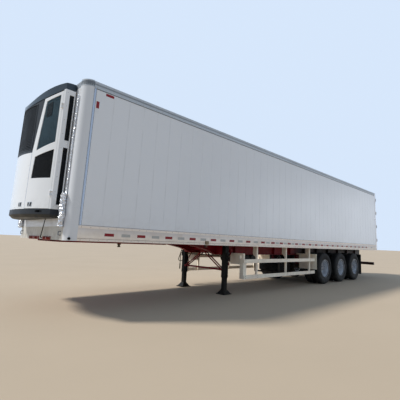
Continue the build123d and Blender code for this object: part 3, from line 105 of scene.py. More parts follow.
# Wheel nuts and hub bolts, in metres: radius of their circle and Y of the face they sit on
NUT_CIRCLE = 0.137
NUT_FACE = 0.955
HUB_CIRCLE = 0.086
HUB_FACE = 1.093

# Service door windows: name, corners as (Y, Z), spacing of the wires and their finish
WINDOWS = (
    ("upper", [(0.540, 2.665), (0.893, 2.800), (0.893, 3.629), (0.632, 3.530)], 0.022, "mesh"),
    ("lower", [(0.505, 2.190), (0.893, 2.190), (0.893, 2.673), (0.530, 2.556)], 0.016, "grille"),
)

# Window wires, in metres: half a wire's width, and how far their ends stay inside the window
WIRE_REACH = 0.0012
WIRE_MARGIN = 0.003

# Cooling unit's bowed front, in metres: its middle and its sides ahead of the box, half its width
BOW_DEPTH = 0.467
BOW_SIDE = 0.175
BOW_HALF = 0.960

# Foil wrap, in metres: mesh size, a height, and depth of the folds below and above that height
FOIL_GRAIN = 0.009
FOIL_CHANGE = 1.93
FOIL_LOOSE = 0.013
FOIL_TIGHT = 0.0035

# Places of the side lamps, the latches and the rear hinges' bolts, in metres
SIDE_LAMP_X = FRONT_X - 2.975
HINGE_Y = 1.135
DOOR_LATCH_Y = 0.516
FIXED_LATCH_Y = 0.250

# Floor and light of the stage, in metres, watts and degrees
FLOOR_REACH = 400.0
FLOOR_LEVEL = -0.0005
SKY_LIGHT = (0.60, 0.77, 1.0, 1.0)
SKY_POWER = 0.485
SKY_SEEN = (0.68, 0.80, 0.97, 1.0)
SUN_POWER = 3.3
SUN_SPREAD = 8
SUN_COLOUR = (1.0, 0.97, 0.92)
SUN_WAY = (-0.62, 0.50, -0.95)
FILL_POWER = 560.0
FILL_SIZE = (20.0, 8.0)
FILL_COLOUR = (0.95, 0.97, 1.0)
FILL_PLACE = (-24.0, 17.0, 3.6)
FILL_AIM = (-3.0, 1.3, 2.2)

# Camera fitted to the photograph's lines, in metres and degrees
CAMERA_PLACE = (8.6915, 6.4433, 1.2687)
CAMERA_YAW = -136.6671
CAMERA_PITCH = 9.5137
CAMERA_ROLL = 2.3698
CAMERA_LENS = 28.5
CAMERA_SHIFT = (-0.0685, -0.0259)


# Materials

def scaled(colour, factor):
    """A colour made paler or darker by a factor."""
    return [min(1.0, channel * factor) for channel in colour]


class Nodes:
    """A material's node tree while it is put together."""

    def __init__(self, name):
        self.material = bpy.data.materials.new(name)
        self.material.use_nodes = True
        self.tree = self.material.node_tree
        self.shader = self.tree.nodes["Principled BSDF"]
        self.place = self.node("ShaderNodeTexCoord").outputs["Object"]

    def node(self, kind, inputs=None, **settings):
        made = self.tree.nodes.new(kind)
        for key, value in settings.items():
            setattr(made, key, value)
        for key, value in (inputs or {}).items():
            if isinstance(value, bpy.types.NodeSocket):
                self.tree.links.new(value, made.inputs[key])
            else:
                made.inputs[key].default_value = value
        return made

    def noise(self, scale, detail=3.0, stretch=(1, 1, 1)):
        place = self.node("ShaderNodeMapping", {"Vector": self.place, "Scale": stretch}).outputs[0]
        made = self.node("ShaderNodeTexNoise", {"Vector": place, "Scale": scale, "Detail": detail})
        return made.outputs["Fac"]

    def cells(self, scale, **settings):
        made = self.node("ShaderNodeTexVoronoi", {"Vector": self.place, "Scale": scale}, **settings)
        return made.outputs["Distance"]

    def ranged(self, value, low, high, to_low=0.0, to_high=1.0):
        made = self.node("ShaderNodeMapRange", {
            "Value": value, "From Min": low, "From Max": high, "To Min": to_low, "To Max": to_high,
        })
        return made.outputs[0]

    def mixed(self, factor, first, second):
        made = self.node("ShaderNodeMix", {0: factor}, data_type="RGBA")
        for key, value in ((6, first), (7, second)):
            if isinstance(value, bpy.types.NodeSocket):
                self.tree.links.new(value, made.inputs[key])
            else:
                made.inputs[key].default_value = (*value[:3], 1.0)
        return made.outputs[2]

    def maths(self, operation, first, second=0.0):
        return self.node("ShaderNodeMath", {0: first, 1: second}, operation=operation).outputs[0]

    def times(self, first, second):
        return self.maths("MULTIPLY", first, second)

    def along(self, axis):
        """The place along one axis."""
        return self.node("ShaderNodeSeparateXYZ", {"Vector": self.place}).outputs[axis]

    def bump(self, height, strength, distance=0.001):
        made = self.node("ShaderNodeBump", {"Height": height, "Strength": strength, "Distance": distance})
        return made.outputs[0]

    def set(self, **values):
        for key, value in values.items():
            socket = self.shader.inputs[key.replace("_", " ")]
            if isinstance(value, bpy.types.NodeSocket):
                self.tree.links.new(value, socket)
            elif socket.type == "RGBA":
                socket.default_value = (*value[:3], 1.0)
            else:
                socket.default_value = value


def painted(name, colour, rough, metal=0.0, coat=0.0, tint=0.05, tint_scale=2.0, grain=0.05,
            grain_scale=400.0, dust=None, dusty=None, fade=0.75, gloss=0.5, coat_rough=0.05,
            stretch=(1, 1, 1)):
    """A finish with uneven colour and gloss, fine grain and dust that fades between two heights."""
    made = Nodes(name)
    cloud = made.ranged(made.noise(tint_scale, 4.0, stretch), 0.35, 0.65)
    shade = made.mixed(cloud, scaled(colour, 1 - tint), scaled(colour, 1 + tint))
    if dust:
        speckle = made.ranged(made.noise(9.0, 6.0), 0.42, 0.75)
        share = made.ranged(made.along("Z"), *dusty, fade, fade * 0.05)
        shade = made.mixed(made.times(speckle, share), shade, dust)
    dull = made.ranged(made.noise(tint_scale * 3, 3.0), 0.3, 0.7, *rough)
    made.set(
        Base_Color=shade, Roughness=dull, Metallic=metal, Coat_Weight=coat, Coat_Roughness=coat_rough,
        Specular_IOR_Level=gloss,
    )
    if grain:
        made.set(Normal=made.bump(made.noise(grain_scale, 2.0), grain))
    return made.material


def foil():
    """Crinkled foil wrap, its colour painted darker in the hollows of its bump and paler on the ridges, a
    painted shade of the crinkles.
    """
    made = Nodes("foil_wrap")
    cells = made.cells(55.0)
    shade = made.mixed(made.ranged(cells, 0.1, 0.7), (0.42, 0.43, 0.45), (0.86, 0.87, 0.90))
    made.set(Base_Color=shade, Metallic=0.85, Roughness=0.3, Normal=made.bump(cells, 0.9, 0.012))
    return made.material


def tape(name, colour):
    """Retroreflective tape with its fine honeycomb."""
    made = Nodes(name)
    cells = made.ranged(made.cells(260.0, feature="DISTANCE_TO_EDGE"), 0.0, 0.25)
    made.set(
        Base_Color=made.mixed(cells, scaled(colour, 1.3), colour), Roughness=0.4, Specular_IOR_Level=0.3,
    )
    return made.material


def window_mesh():
    """The service doors' window sheets with fine rows of holes, the lower one darker."""
    made = Nodes("window_mesh")
    hole = made.ranged(made.cells(110.0), 0.25, 0.45)
    lean = made.times(made.maths("ABSOLUTE", made.along("Y")), -0.33)
    upper = made.ranged(made.maths("ADD", made.along("Z"), lean), 2.42, 2.44)
    cloud = made.ranged(made.noise(1.3, 2.0), 0.35, 0.65)
    slate = made.mixed(cloud, (0.046, 0.088, 0.118), (0.064, 0.118, 0.154))
    sheet = made.mixed(upper, (0.004, 0.005, 0.006), slate)
    made.set(
        Base_Color=made.mixed(hole, (0.003, 0.004, 0.005), sheet), Roughness=0.4,
        Specular_IOR_Level=0.16, Normal=made.bump(hole, 0.35, 0.002),
    )
    return made.material


def coupling_paint(grime_and_shade):
    """Red plates and couplings low on the front, dark grips above them."""
    made = Nodes("coupling_paint")
    cloud = made.ranged(made.noise(14.0, 4.0), 0.35, 0.65)
    red = made.mixed(cloud, (0.20, 0.022, 0.018), (0.33, 0.040, 0.032))
    worn = made.mixed(made.ranged(made.noise(30.0, 5.0), 0.5, 0.7), red, grime_and_shade)
    shade = made.mixed(made.ranged(made.along("Z"), 1.272, 1.276), worn, (0.05, 0.07, 0.11))
    made.set(Base_Color=shade, Roughness=0.45, Normal=made.bump(made.noise(160.0), 0.1))
    return made.material


def rail_finish(colour):
    """Drawn aluminium, dusty and pale near its foot and greyer toward its head."""
    made = Nodes("drawn_aluminium")
    drawn = (0.4, 6.0, 6.0)
    cloud = made.ranged(made.noise(1.5, 4.0, drawn), 0.35, 0.65)
    foot = made.mixed(cloud, scaled(colour, 0.92), scaled(colour, 1.06))
    head = made.mixed(cloud, (0.70, 0.66, 0.64), (0.80, 0.76, 0.73))
    shade = made.mixed(made.ranged(made.along("Z"), 1.25, 1.39), foot, head)
    speckle = made.ranged(made.noise(9.0, 6.0), 0.42, 0.75, 0.0, 0.35)
    dusty = made.mixed(speckle, shade, (0.60, 0.50, 0.40))
    dull = made.ranged(made.noise(4.5, 3.0), 0.3, 0.7, 0.38, 0.52)
    bump = made.bump(made.noise(120.0, 2.0, drawn), 0.1)
    made.set(Base_Color=dusty, Roughness=dull, Metallic=0.1, Normal=bump)
    return made.material


def frame_paint(colour):
    """Frame paint with darker speckles, and painted shade, near black and mottled like road grime, around the
    axles.
    """
    made = Nodes("chassis_paint")
    cloud = made.ranged(made.noise(3.0, 4.0), 0.35, 0.65)
    paint = made.mixed(cloud, scaled(colour, 0.8), scaled(colour, 1.2))
    speckle = made.ranged(made.noise(9.0, 6.0), 0.45, 0.75, 0.0, 0.5)
    dusty = made.mixed(speckle, paint, [channel * 0.5 + 0.014 for channel in colour])
    # Painted shade: behind X -0.75 the frame turns near black, standing in for the shadow under the box and
    # wheels
    grime_and_shade = made.ranged(made.noise(2.0, 5.0), 0.2, 0.6, 0.82, 1.0)
    share = made.times(grime_and_shade, made.ranged(made.along("X"), -0.75, -1.5))
    shade = made.mixed(share, dusty, (0.013, 0.009, 0.008))
    dull = made.ranged(made.noise(9.0, 3.0), 0.3, 0.7, 0.42, 0.6)
    bump = made.bump(made.noise(400.0, 2.0), 0.12)
    made.set(Base_Color=shade, Roughness=dull, Specular_IOR_Level=0.2, Normal=bump)
    return made.material


def rim_paint(name, colour, centre):
    """Silver paint of a rim, dull on the lip and the disc, pale and clean on the barrel's inside, partly a
    painted reflection.
    """
    made = Nodes(name)
    flat = made.node("ShaderNodeMapping", {
        "Vector": made.place, "Location": (-centre[0], 0.0, -centre[2]), "Scale": (1.0, 0.0, 1.0),
    }).outputs[0]
    from_axle = made.node("ShaderNodeVectorMath", {0: flat}, operation="LENGTH").outputs["Value"]
    aside = made.maths("ABSOLUTE", made.along("Y"))
    inside = made.times(made.ranged(from_axle, 0.235, 0.255), made.ranged(aside, 1.205, 1.19))
    cloud = made.ranged(made.noise(8.0, 4.0), 0.35, 0.65)
    worn = made.mixed(cloud, scaled(colour, 0.88), scaled(colour, 1.12))
    # The pale barrel is partly a painted reflection of the lit ground seen inside it
    pale_barrel_and_sheen = made.mixed(cloud, (0.78, 0.82, 0.88), (0.86, 0.90, 0.96))
    speckle = made.ranged(made.noise(9.0, 6.0), 0.42, 0.75, 0.0, 0.25)
    shade = made.mixed(speckle, made.mixed(inside, worn, pale_barrel_and_sheen), (0.10, 0.085, 0.07))
    dull = made.ranged(made.noise(24.0, 3.0), 0.3, 0.7, 0.24, 0.36)
    made.set(Base_Color=shade, Roughness=dull, Metallic=0.3, Normal=made.bump(made.noise(400.0, 2.0), 0.06))
    return made.material


def rubber(name, colour, dusty):
    """Tyre or sheet rubber with dust near the ground."""
    return painted(
        name, colour, (0.65, 0.85), gloss=0.25, tint=0.25, tint_scale=6.0, grain=0.25,
        grain_scale=900.0, dust=(0.085, 0.08, 0.07), dusty=dusty,
    )


# Geometry

BOX_FACES = [(0, 1, 3, 2), (4, 6, 7, 5), (0, 4, 5, 1), (2, 3, 7, 6), (0, 2, 6, 4), (1, 5, 7, 3)]

# Finishes by name, made by the finishes operator
FINISHES = {}


def spaced(start, stop, step):
    """Places from start on, a step apart, as long as they lie before stop."""
    place = start
    while place < stop if step > 0 else place > stop:
        yield place
        place += step


def ring_faces(rings, steps, closed=False):
    """Faces between neighbouring rings of points, and from the last ring to the first if closed."""
    faces = []
    for ring in range(rings if closed else rings - 1):
        first, second = ring * steps, (ring + 1) % rings * steps
        for step in range(steps):
            after = (step + 1) % steps
            faces.append((first + step, first + after, second + after, second + step))
    return faces


def end_faces(rings, steps):
    """The faces that close the first and the last ring."""
    return [tuple(range(steps))[::-1], tuple(range((rings - 1) * steps, rings * steps))]


def circle_places(centre, radius, count, turn=0.0):
    """Evenly spaced places on a circle around an axle along Y."""
    for step in range(count):
        angle = 2 * math.pi * (step + turn) / count
        yield (centre[0] + radius * math.sin(angle), centre[1], centre[2] + radius * math.cos(angle))


def middle_of(node):
    """The middle of a node's box."""
    low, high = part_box(node)
    return [(low[axis] + high[axis]) / 2 for axis in range(3)]


class Shape:
    """Corner points and faces of one piece while it is put together."""

    def __init__(self):
        self.points = []
        self.faces = []

    def add(self, points, faces):
        start = len(self.points)
        self.points += [tuple(point) for point in points]
        self.faces += [tuple(start + index for index in face) for face in faces]

    def box(self, low, high):
        xs, ys, zs = zip(low, high)
        self.add([(x, y, z) for x in xs for y in ys for z in zs], BOX_FACES)

    def side_strip(self, surface, rise, along, height):
        """A flat strip on a left surface, between its ends in X and its foot and head."""
        self.box((along[0], surface - SINK, height[0]), (along[1], surface + rise, height[1]))

    def lathe(self, profile, centre, axis, steps):
        """A turned form, its profile given as (along the axis, radius) points."""
        axis = Vector(axis).normalized()
        aside = axis.orthogonal().normalized()
        across = axis.cross(aside)
        points = []
        for along, radius in profile:
            for step in range(steps):
                angle = 2 * math.pi * step / steps
                way = aside * math.cos(angle) + across * math.sin(angle)
                points.append(Vector(centre) + axis * along + way * radius)
        self.add(points, ring_faces(len(profile), steps) + end_faces(len(profile), steps))

    def rivet(self, centre, axis, radius, height, steps=8):
        profile = [(0, radius), (height * 0.6, radius * 0.8), (height, radius * 0.35)]
        self.lathe(profile, centre, axis, steps)

    def hex_bolt(self, centre, axis, radius, height):
        self.lathe([(0, radius * 1.35), (height * 0.2, radius * 1.35)], centre, axis, 14)
        self.lathe([(height * 0.2, radius), (height * 0.9, radius), (height, radius * 0.85)], centre, axis, 6)

    def tube(self, route, radius, steps):
        """A bar along a smooth run of points."""
        route = [Vector(point) for point in route]
        points = []
        for index, point in enumerate(route):
            before, after = route[max(index - 1, 0)], route[min(index + 1, len(route) - 1)]
            way = (after - before).normalized()
            aside = way.cross(Vector(UPWARD) if abs(way.z) < 0.9 else Vector(AHEAD)).normalized()
            across = way.cross(aside)
            for step in range(steps):
                angle = 2 * math.pi * step / steps
                points.append(point + (aside * math.cos(angle) + across * math.sin(angle)) * radius)
        self.add(points, end_faces(len(route), steps) + ring_faces(len(route), steps))

    def mirrored(self):
        """The same form on the other side of the trailer."""
        twin = Shape()
        twin.add([(x, -y, z) for x, y, z in self.points], [face[::-1] for face in self.faces])
        return twin

    def place(self, name, finish, slot, smooth=35.0, body="trailer"):
        """The piece in its finish, with soft edges below an angle, riding a body."""
        mesh = bpy.data.meshes.new(name)
        mesh.from_pydata(self.points, [], self.faces)
        mesh.materials.append(FINISHES[finish])
        mesh.validate()
        mesh.update()
        piece = bpy.data.objects.new(name, mesh)
        bpy.context.scene.collection.objects.link(piece)
        if smooth:
            for face in mesh.polygons:
                face.use_smooth = True
            mesh.set_sharp_from_angle(angle=math.radians(smooth))
        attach(piece, body)
        return piece


def both_sides(shape, name, finish, slot, smooth=35.0, body="trailer"):
    """The piece and its twin on the right."""
    for side, way in SIDES:
        form = shape if way > 0 else shape.mirrored()
        form.place(f"{name}_{side}", finish, slot, smooth, body.format(side=side))


# Sizes and colours that a user would change

class TrailerFinish(bpy.types.PropertyGroup):
    """Colours of the trailer's finishes."""

    panel: bpy.props.FloatVectorProperty(
        name="Box panels", description="Skin of the walls, roof and doors", subtype="COLOR",
        size=3, min=0, max=1, default=(0.79, 0.82, 0.86),
    )
    rail: bpy.props.FloatVectorProperty(
        name="Bottom rails", description="Dusty drawn aluminium of the bottom rails", subtype="COLOR",
        size=3, min=0, max=1, default=(0.98, 0.86, 0.75),
    )
    top_rail: bpy.props.FloatVectorProperty(
        name="Top rails", description="Weathered aluminium of the top rails and caps", subtype="COLOR",
        size=3, min=0, max=1, default=(0.30, 0.33, 0.36),
    )
    chassis: bpy.props.FloatVectorProperty(
        name="Chassis", description="Paint of the frame under the box", subtype="COLOR",
        size=3, min=0, max=1, default=(0.24, 0.006, 0.011),
    )
    guard: bpy.props.FloatVectorProperty(
        name="Side guards", description="Paint of the side guards and splash plates", subtype="COLOR",
        size=3, min=0, max=1, default=(1.0, 0.87, 0.72),
    )
    casing: bpy.props.FloatVectorProperty(
        name="Cooling unit", description="Moulded panels of the cooling unit", subtype="COLOR",
        size=3, min=0, max=1, default=(0.90, 0.92, 0.94),
    )
    cap: bpy.props.FloatVectorProperty(
        name="Unit cap", description="Moulded cap of the cooling unit", subtype="COLOR",
        size=3, min=0, max=1, default=(0.010, 0.026, 0.042),
    )
    rim: bpy.props.FloatVectorProperty(
        name="Rims", description="Paint of the wheel rims", subtype="COLOR",
        size=3, min=0, max=1, default=(0.13, 0.145, 0.17),
    )
    floor: bpy.props.FloatVectorProperty(
        name="Floor", description="Colour of the stage floor", subtype="COLOR",
        size=3, min=0, max=1, default=(0.48, 0.385, 0.28),
    )


class TrailerDetail(bpy.types.PropertyGroup):
    """Sizes of the fine detail."""

    seam_pitch: bpy.props.FloatProperty(
        name="Seam pitch", description="Distance between upright wall seams", subtype="DISTANCE",
        default=0.31, min=0.2, max=1.5,
    )
    seam_width: bpy.props.FloatProperty(
        name="Seam width", description="Width of a wall seam's cover strip", subtype="DISTANCE",
        default=0.022, min=0.005, max=0.05,
    )
    rivet_pitch: bpy.props.FloatProperty(
        name="Rivet pitch", description="Distance between rivets in a row", subtype="DISTANCE",
        default=0.1, min=0.04, max=0.4,
    )
    tape_height: bpy.props.FloatProperty(
        name="Tape height", description="Height of the reflective tape", subtype="DISTANCE",
        default=0.05, min=0.02, max=0.08,
    )
    tread_depth: bpy.props.FloatProperty(
        name="Tread depth", description="Depth of the tyres' grooves", subtype="DISTANCE",
        default=0.011, min=0.002, max=0.016,
    )


class TRAILER_OT_finishes(bpy.types.Operator):
    """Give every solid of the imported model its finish"""

    bl_idname = "trailer.finishes"
    bl_label = "Finishes"

    def execute(self, context):
        colours = context.scene.trailer_finish
        grime_and_shade = (0.20, 0.17, 0.13)
        drawn = (0.4, 6.0, 6.0)
        FINISHES.update({
            "panel": painted(
                "panel_skin", colours.panel, (0.28, 0.38), coat=0.6, coat_rough=0.32, tint=0.025,
                tint_scale=0.35, grain=0.03, dust=(0.46, 0.44, 0.40), dusty=(1.4, 1.75), fade=0.22,
            ),
            # Painted shade: the roof is the panel colour made darker so that the sun on the top does not wash
            # it out
            "roof": painted(
                "roof_skin_painted_shade", scaled(colours.panel, 0.82), (0.55, 0.7), gloss=0.2, tint=0.04,
                tint_scale=0.4, dust=(0.50, 0.46, 0.40), dusty=(3.95, 4.2), fade=0.6,
            ),
            "seam": painted(
                "seam_skin", scaled(colours.panel, 0.975), (0.3, 0.4), coat=0.4, coat_rough=0.35,
                tint_scale=3.0, grain=0.03,
            ),
            "post": painted(
                "post_skin", scaled(colours.panel, 0.92), (0.2, 0.3), coat=0.3, coat_rough=0.2,
                tint=0.02, tint_scale=0.5, grain=0.02, dust=grime_and_shade, dusty=(1.15, 1.4), fade=0.2,
            ),
            "trim": painted(
                "bright_trim", (0.42, 0.49, 0.60), (0.26, 0.36), metal=0.5, tint=0.06,
                grain_scale=200.0, stretch=(1, 1, 0.3),
            ),
            "rail": rail_finish(colours.rail),
            "lip": painted(
                "rail_lips", (0.88, 0.79, 0.70), (0.35, 0.5), metal=0.1, grain=0.08,
                grain_scale=120.0, stretch=drawn,
            ),
            "top_rail": painted(
                "weathered_aluminium", colours.top_rail, (0.4, 0.55), metal=0.3, tint=0.12, grain=0.12,
                grain_scale=120.0, stretch=drawn,
            ),
            "band": painted(
                "drawn_band", scaled(colours.top_rail, 1.55), (0.4, 0.5), metal=0.2, tint=0.08,
                grain=0.08, grain_scale=120.0, stretch=drawn,
            ),
            "stud": painted("rail_studs", (0.36, 0.33, 0.31), (0.35, 0.5), metal=0.4, tint=0.1),
            "corner_cap": painted(
                "cast_aluminium", scaled(colours.top_rail, 0.45), (0.38, 0.5), metal=0.4, tint=0.16,
                tint_scale=6.0, grain=0.25, grain_scale=220.0,
            ),
            "sill": painted(
                "sill_paint", (0.66, 0.65, 0.60), (0.4, 0.55), tint=0.08, dust=grime_and_shade, dusty=(1.15, 1.45),
            ),
            "deck": painted(
                "ribbed_deck", (0.50, 0.51, 0.52), (0.35, 0.55), metal=0.9, tint=0.14, tint_scale=3.0,
                grain=0.3, stretch=(0.3, 4.0, 4.0),
            ),
            "steel": painted(
                "brushed_steel", (0.50, 0.50, 0.51), (0.25, 0.4), metal=0.85, tint=0.08, grain=0.15,
                grain_scale=260.0, stretch=(1, 1, 8.0), dust=grime_and_shade, dusty=(1.1, 1.7),
            ),
            "chassis": frame_paint(colours.chassis),
            "zinc": painted(
                "zinc_paint", (0.26, 0.25, 0.23), (0.45, 0.6), metal=0.3, tint=0.15, tint_scale=5.0,
                grain=0.2, dust=grime_and_shade, dusty=(0.9, 1.6),
            ),
            "black": painted(
                "black_paint", (0.004, 0.0042, 0.004), (0.42, 0.58), gloss=0.13, tint=0.3,
                tint_scale=8.0, grain=0.12, dust=(0.05, 0.042, 0.03), dusty=(-0.1, 0.35),
            ),
            "dusty_black": painted(
                "dusty_black_paint", (0.012, 0.012, 0.012), (0.5, 0.7), gloss=0.25, tint=0.25,
                tint_scale=5.0, grain=0.25, dust=(0.09, 0.07, 0.05), dusty=(0.2, 1.2),
            ),
            "oiled": painted(
                "oiled_steel", (0.10, 0.085, 0.05), (0.35, 0.5), metal=0.5, tint=0.2, tint_scale=12.0,
                grain=0.15,
            ),
            "guard": painted(
                "guard_paint", colours.guard, (0.38, 0.5), coat=0.1, tint=0.06, tint_scale=3.0,
                grain=0.08, dust=(0.74, 0.61, 0.46), dusty=(0.3, 1.0), fade=0.4,
            ),
            "casing": painted(
                "casing_gloss", colours.casing, (0.14, 0.22), coat=0.5, tint=0.015, tint_scale=1.0,
                grain=0.02, dust=(0.5, 0.5, 0.47), dusty=(1.6, 1.9), fade=0.5,
            ),
            "cap": painted(
                "cap_gloss", colours.cap, (0.25, 0.35), coat=0.1, coat_rough=0.15, tint=0.14,
                tint_scale=1.5, grain=0.03,
            ),
            "charcoal": painted(
                "charcoal_moulding", (0.016, 0.021, 0.028), (0.4, 0.52), gloss=0.3, tint=0.15,
                grain=0.18, dust=(0.10, 0.095, 0.055), dusty=(1.52, 1.60), fade=0.9,
            ),
            "grille": painted(
                "grille_moulding", (0.006, 0.0075, 0.010), (0.4, 0.55), gloss=0.12, tint=0.2, grain=0.12,
            ),
            "mesh": window_mesh(),
            "couplings": coupling_paint(grime_and_shade),
            "castings": painted(
                "grey_castings", (0.17, 0.17, 0.18), (0.5, 0.7), metal=0.5, tint=0.2, grain=0.4,
            ),
            "tyre": rubber("tyre_rubber", (0.010, 0.010, 0.0105), (-0.1, 0.7)),
            "flap": rubber("flap_rubber", (0.011, 0.011, 0.011), (0.1, 0.9)),
            "seal": painted(
                "seal_rubber", (0.012, 0.012, 0.013), (0.55, 0.7), gloss=0.3, tint=0.1, grain=0.1,
            ),
            "foil": foil(),
            "red_tape": tape("red_reflector_tape", (0.22, 0.011, 0.016)),
            "white_tape": tape("white_reflector_tape", (0.42, 0.42, 0.405)),
            "amber": painted("amber_lens", (0.34, 0.08, 0.015), (0.1, 0.16), coat=0.6, tint=0.1, grain=0),
            "dull_amber": painted(
                "dull_amber_lens", (0.19, 0.115, 0.03), (0.3, 0.4), coat=0.2, tint=0.15, grain=0.1,
            ),
            "brown_lens": painted(
                "brown_lens", (0.10, 0.024, 0.009), (0.4, 0.5), gloss=0.2, tint=0.15, grain=0.1,
            ),
            "red_lens": painted("red_lens", (0.35, 0.010, 0.012), (0.1, 0.16), coat=0.8, tint=0.1, grain=0),
            "clear_lens": painted("clear_lens", (0.7, 0.71, 0.72), (0.08, 0.14), coat=0.8, grain=0),
        })
        by_node = {
            "corner_posts": "post", "corner_caps": "corner_cap", "top_rails": "top_rail", "roof": "roof",
            "unit_door_grilles_left": "mesh", "unit_door_grilles_right": "mesh",
        }
        for node in NODES:
            if node.startswith(("rims_", "spare_rim")):
                FINISHES[node] = rim_paint(f"{node}_paint", colours.rim, middle_of(node))
                by_node[node] = node
        by_slot = {
            "panel_white": "panel", "rail_grey": "rail", "sill_grey": "sill", "deck_metal": "deck",
            "stainless": "steel", "frame_red": "chassis", "member_grey": "zinc", "leg_black": "black",
            "shaft_olive": "oiled", "guard_white": "guard", "tyre": "tyre", "axle_black": "dusty_black",
            "unit_white": "casing", "unit_slate": "cap", "unit_grey": "charcoal",
            "grille_black": "grille", "engine_grey": "castings", "flap_black": "flap",
            "conduit_silver": "foil", "plate_red": "couplings", "lamp_black": "black",
        }
        slots = {row["node"]: row["material_slot"] for row in RECORD["subparts"]}
        for node, piece in NODES.items():
            finish = by_node.get(node) or by_slot[slots[node]]
            piece.data.materials.clear()
            piece.data.materials.append(FINISHES[finish])
        return {"FINISHED"}


class TRAILER_OT_wall_seams(bpy.types.Operator):
    """Add the wall seams, edge trims and their rivets"""

    bl_idname = "trailer.wall_seams"
    bl_label = "Wall seams"

    def execute(self, context):
        detail = context.scene.trailer_detail
        low, high = RAIL_HEAD + 0.002, TOP_RAIL_FOOT - 0.002
        half = detail.seam_width / 2
        seams = Shape()
        rivets = Shape()
        for x in spaced(FRONT_X - FIRST_SEAM, REAR_X + 0.3, -detail.seam_pitch):
            seams.side_strip(SKIN, SEAM_RISE, (x - half, x + half), (low, high))
            for z in spaced(low + 0.04, high - 0.02, detail.rivet_pitch):
                rivets.rivet((x, SKIN + SEAM_RISE, z), OUTWARD, 0.0045, 0.0014)
        both_sides(seams, "wall_seams", "seam", "panel_white")
        both_sides(rivets, "wall_rivets", "seam", "panel_white")

        # Bands and lips along the rails, and dark strips, painted shadow in the rail joints and grooves
        along = (REAR_X + 0.125, POST_REAR - 0.004)
        bands = Shape()
        bands.side_strip(HALF, 0.0025, along, (3.789, 3.836))
        bands.side_strip(HALF, 0.0025, along, (3.866, 3.908))
        both_sides(bands, "top_rail_bands", "band", "rail_grey", 0)
        lips = Shape()
        lips.side_strip(HALF, 0.0025, along, (RAIL_FOOT + 0.004, RAIL_FOOT + 0.030))
        lips.side_strip(HALF, 0.0020, along, (RAIL_HEAD - 0.042, RAIL_HEAD - 0.010))
        both_sides(lips, "bottom_rail_lips", "lip", "rail_grey", 0)
        joint_shadow_lines = Shape()
        joint_shadow_lines.side_strip(SKIN, 0.0045, along, (RAIL_HEAD - 0.002, RAIL_HEAD + 0.004))
        joint_shadow_lines.side_strip(SKIN, 0.0030, along, (TOP_RAIL_FOOT - 0.006, TOP_RAIL_FOOT + 0.001))
        joint_shadow_lines.side_strip(HALF, TAPE_RISE, along, (RAIL_FOOT + 0.040, RAIL_FOOT + 0.043))
        both_sides(joint_shadow_lines, "rail_joint_shadows", "seal", "flap_black", 0)

        # Rounded trim behind the corner post, between a dark joint and a painted shadow line, and its row of
        # studs
        edge = POST_REAR - 0.006
        bulge = [
            (0.0, 0.0), (-0.006, 0.0036), (-0.014, 0.0052), (-0.022, 0.0052), (-0.030, 0.0036), (-0.036, 0.0),
        ]
        count = len(bulge)
        trim = Shape()
        trim.add(
            [(edge + back, SKIN - 0.0005 + out, z) for z in (low, high) for back, out in bulge],
            ring_faces(2, count) + end_faces(2, count),
        )
        both_sides(trim, "post_trim", "trim", "stainless", 50)
        joint = Shape()
        joint.side_strip(SKIN, SEAM_RISE, (edge, edge + 0.006), (low, high))
        # The second strip is a painted shadow line behind the trim's bulge
        joint.side_strip(SKIN, TAPE_RISE, (edge - 0.040, edge - 0.036), (low, high))
        both_sides(joint, "post_joint_and_shadow", "seal", "flap_black", 0)
        studs = Shape()
        for z in spaced(low + 0.03, high - 0.02, detail.rivet_pitch * 0.5):
            studs.rivet((edge - 0.048, SKIN, z), OUTWARD, 0.0055, 0.002)
        both_sides(studs, "post_studs", "seam", "panel_white")

        rail_rivets = Shape()
        heights = (RAIL_FOOT + 0.017, RAIL_HEAD - 0.026, TOP_RAIL_FOOT + 0.030, TOP_RAIL_FOOT + 0.108)
        for x in spaced(POST_REAR - 0.05, REAR_X + 0.16, -detail.rivet_pitch * 1.5):
            for z in heights:
                rail_rivets.rivet((x, HALF + 0.0018, z), OUTWARD, 0.007, 0.0028)
        both_sides(rail_rivets, "rail_rivets", "stud", "rail_grey")

        front = Shape()
        heights = (RAIL_FOOT + 0.03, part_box("front_sill")[1][2] - 0.02, TOP_RAIL_FOOT + 0.030)
        for y in spaced(-FRONT_EDGE + 0.04, FRONT_EDGE, detail.rivet_pitch):
            for z in heights:
                front.rivet((FRONT_X, y, z), AHEAD, 0.0055, 0.002)
        front.place("front_rivets", "sill", "sill_grey")

        laps = Shape()
        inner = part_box("roof")[1][1]
        top = ROOF_TOP + 0.0012
        for x in spaced(FRONT_X - FIRST_LAP, REAR_X + 0.3, -ROOF_SHEET):
            laps.box((x - 0.02, -inner + 0.01, ROOF_TOP - SINK), (x + 0.02, inner - 0.01, top))
            for y in spaced(-inner + 0.05, inner - 0.02, 0.12):
                laps.rivet((x, y, top), UPWARD, 0.006, 0.002, 6)
        laps.place("roof_laps", "roof", "panel_white")
        return {"FINISHED"}


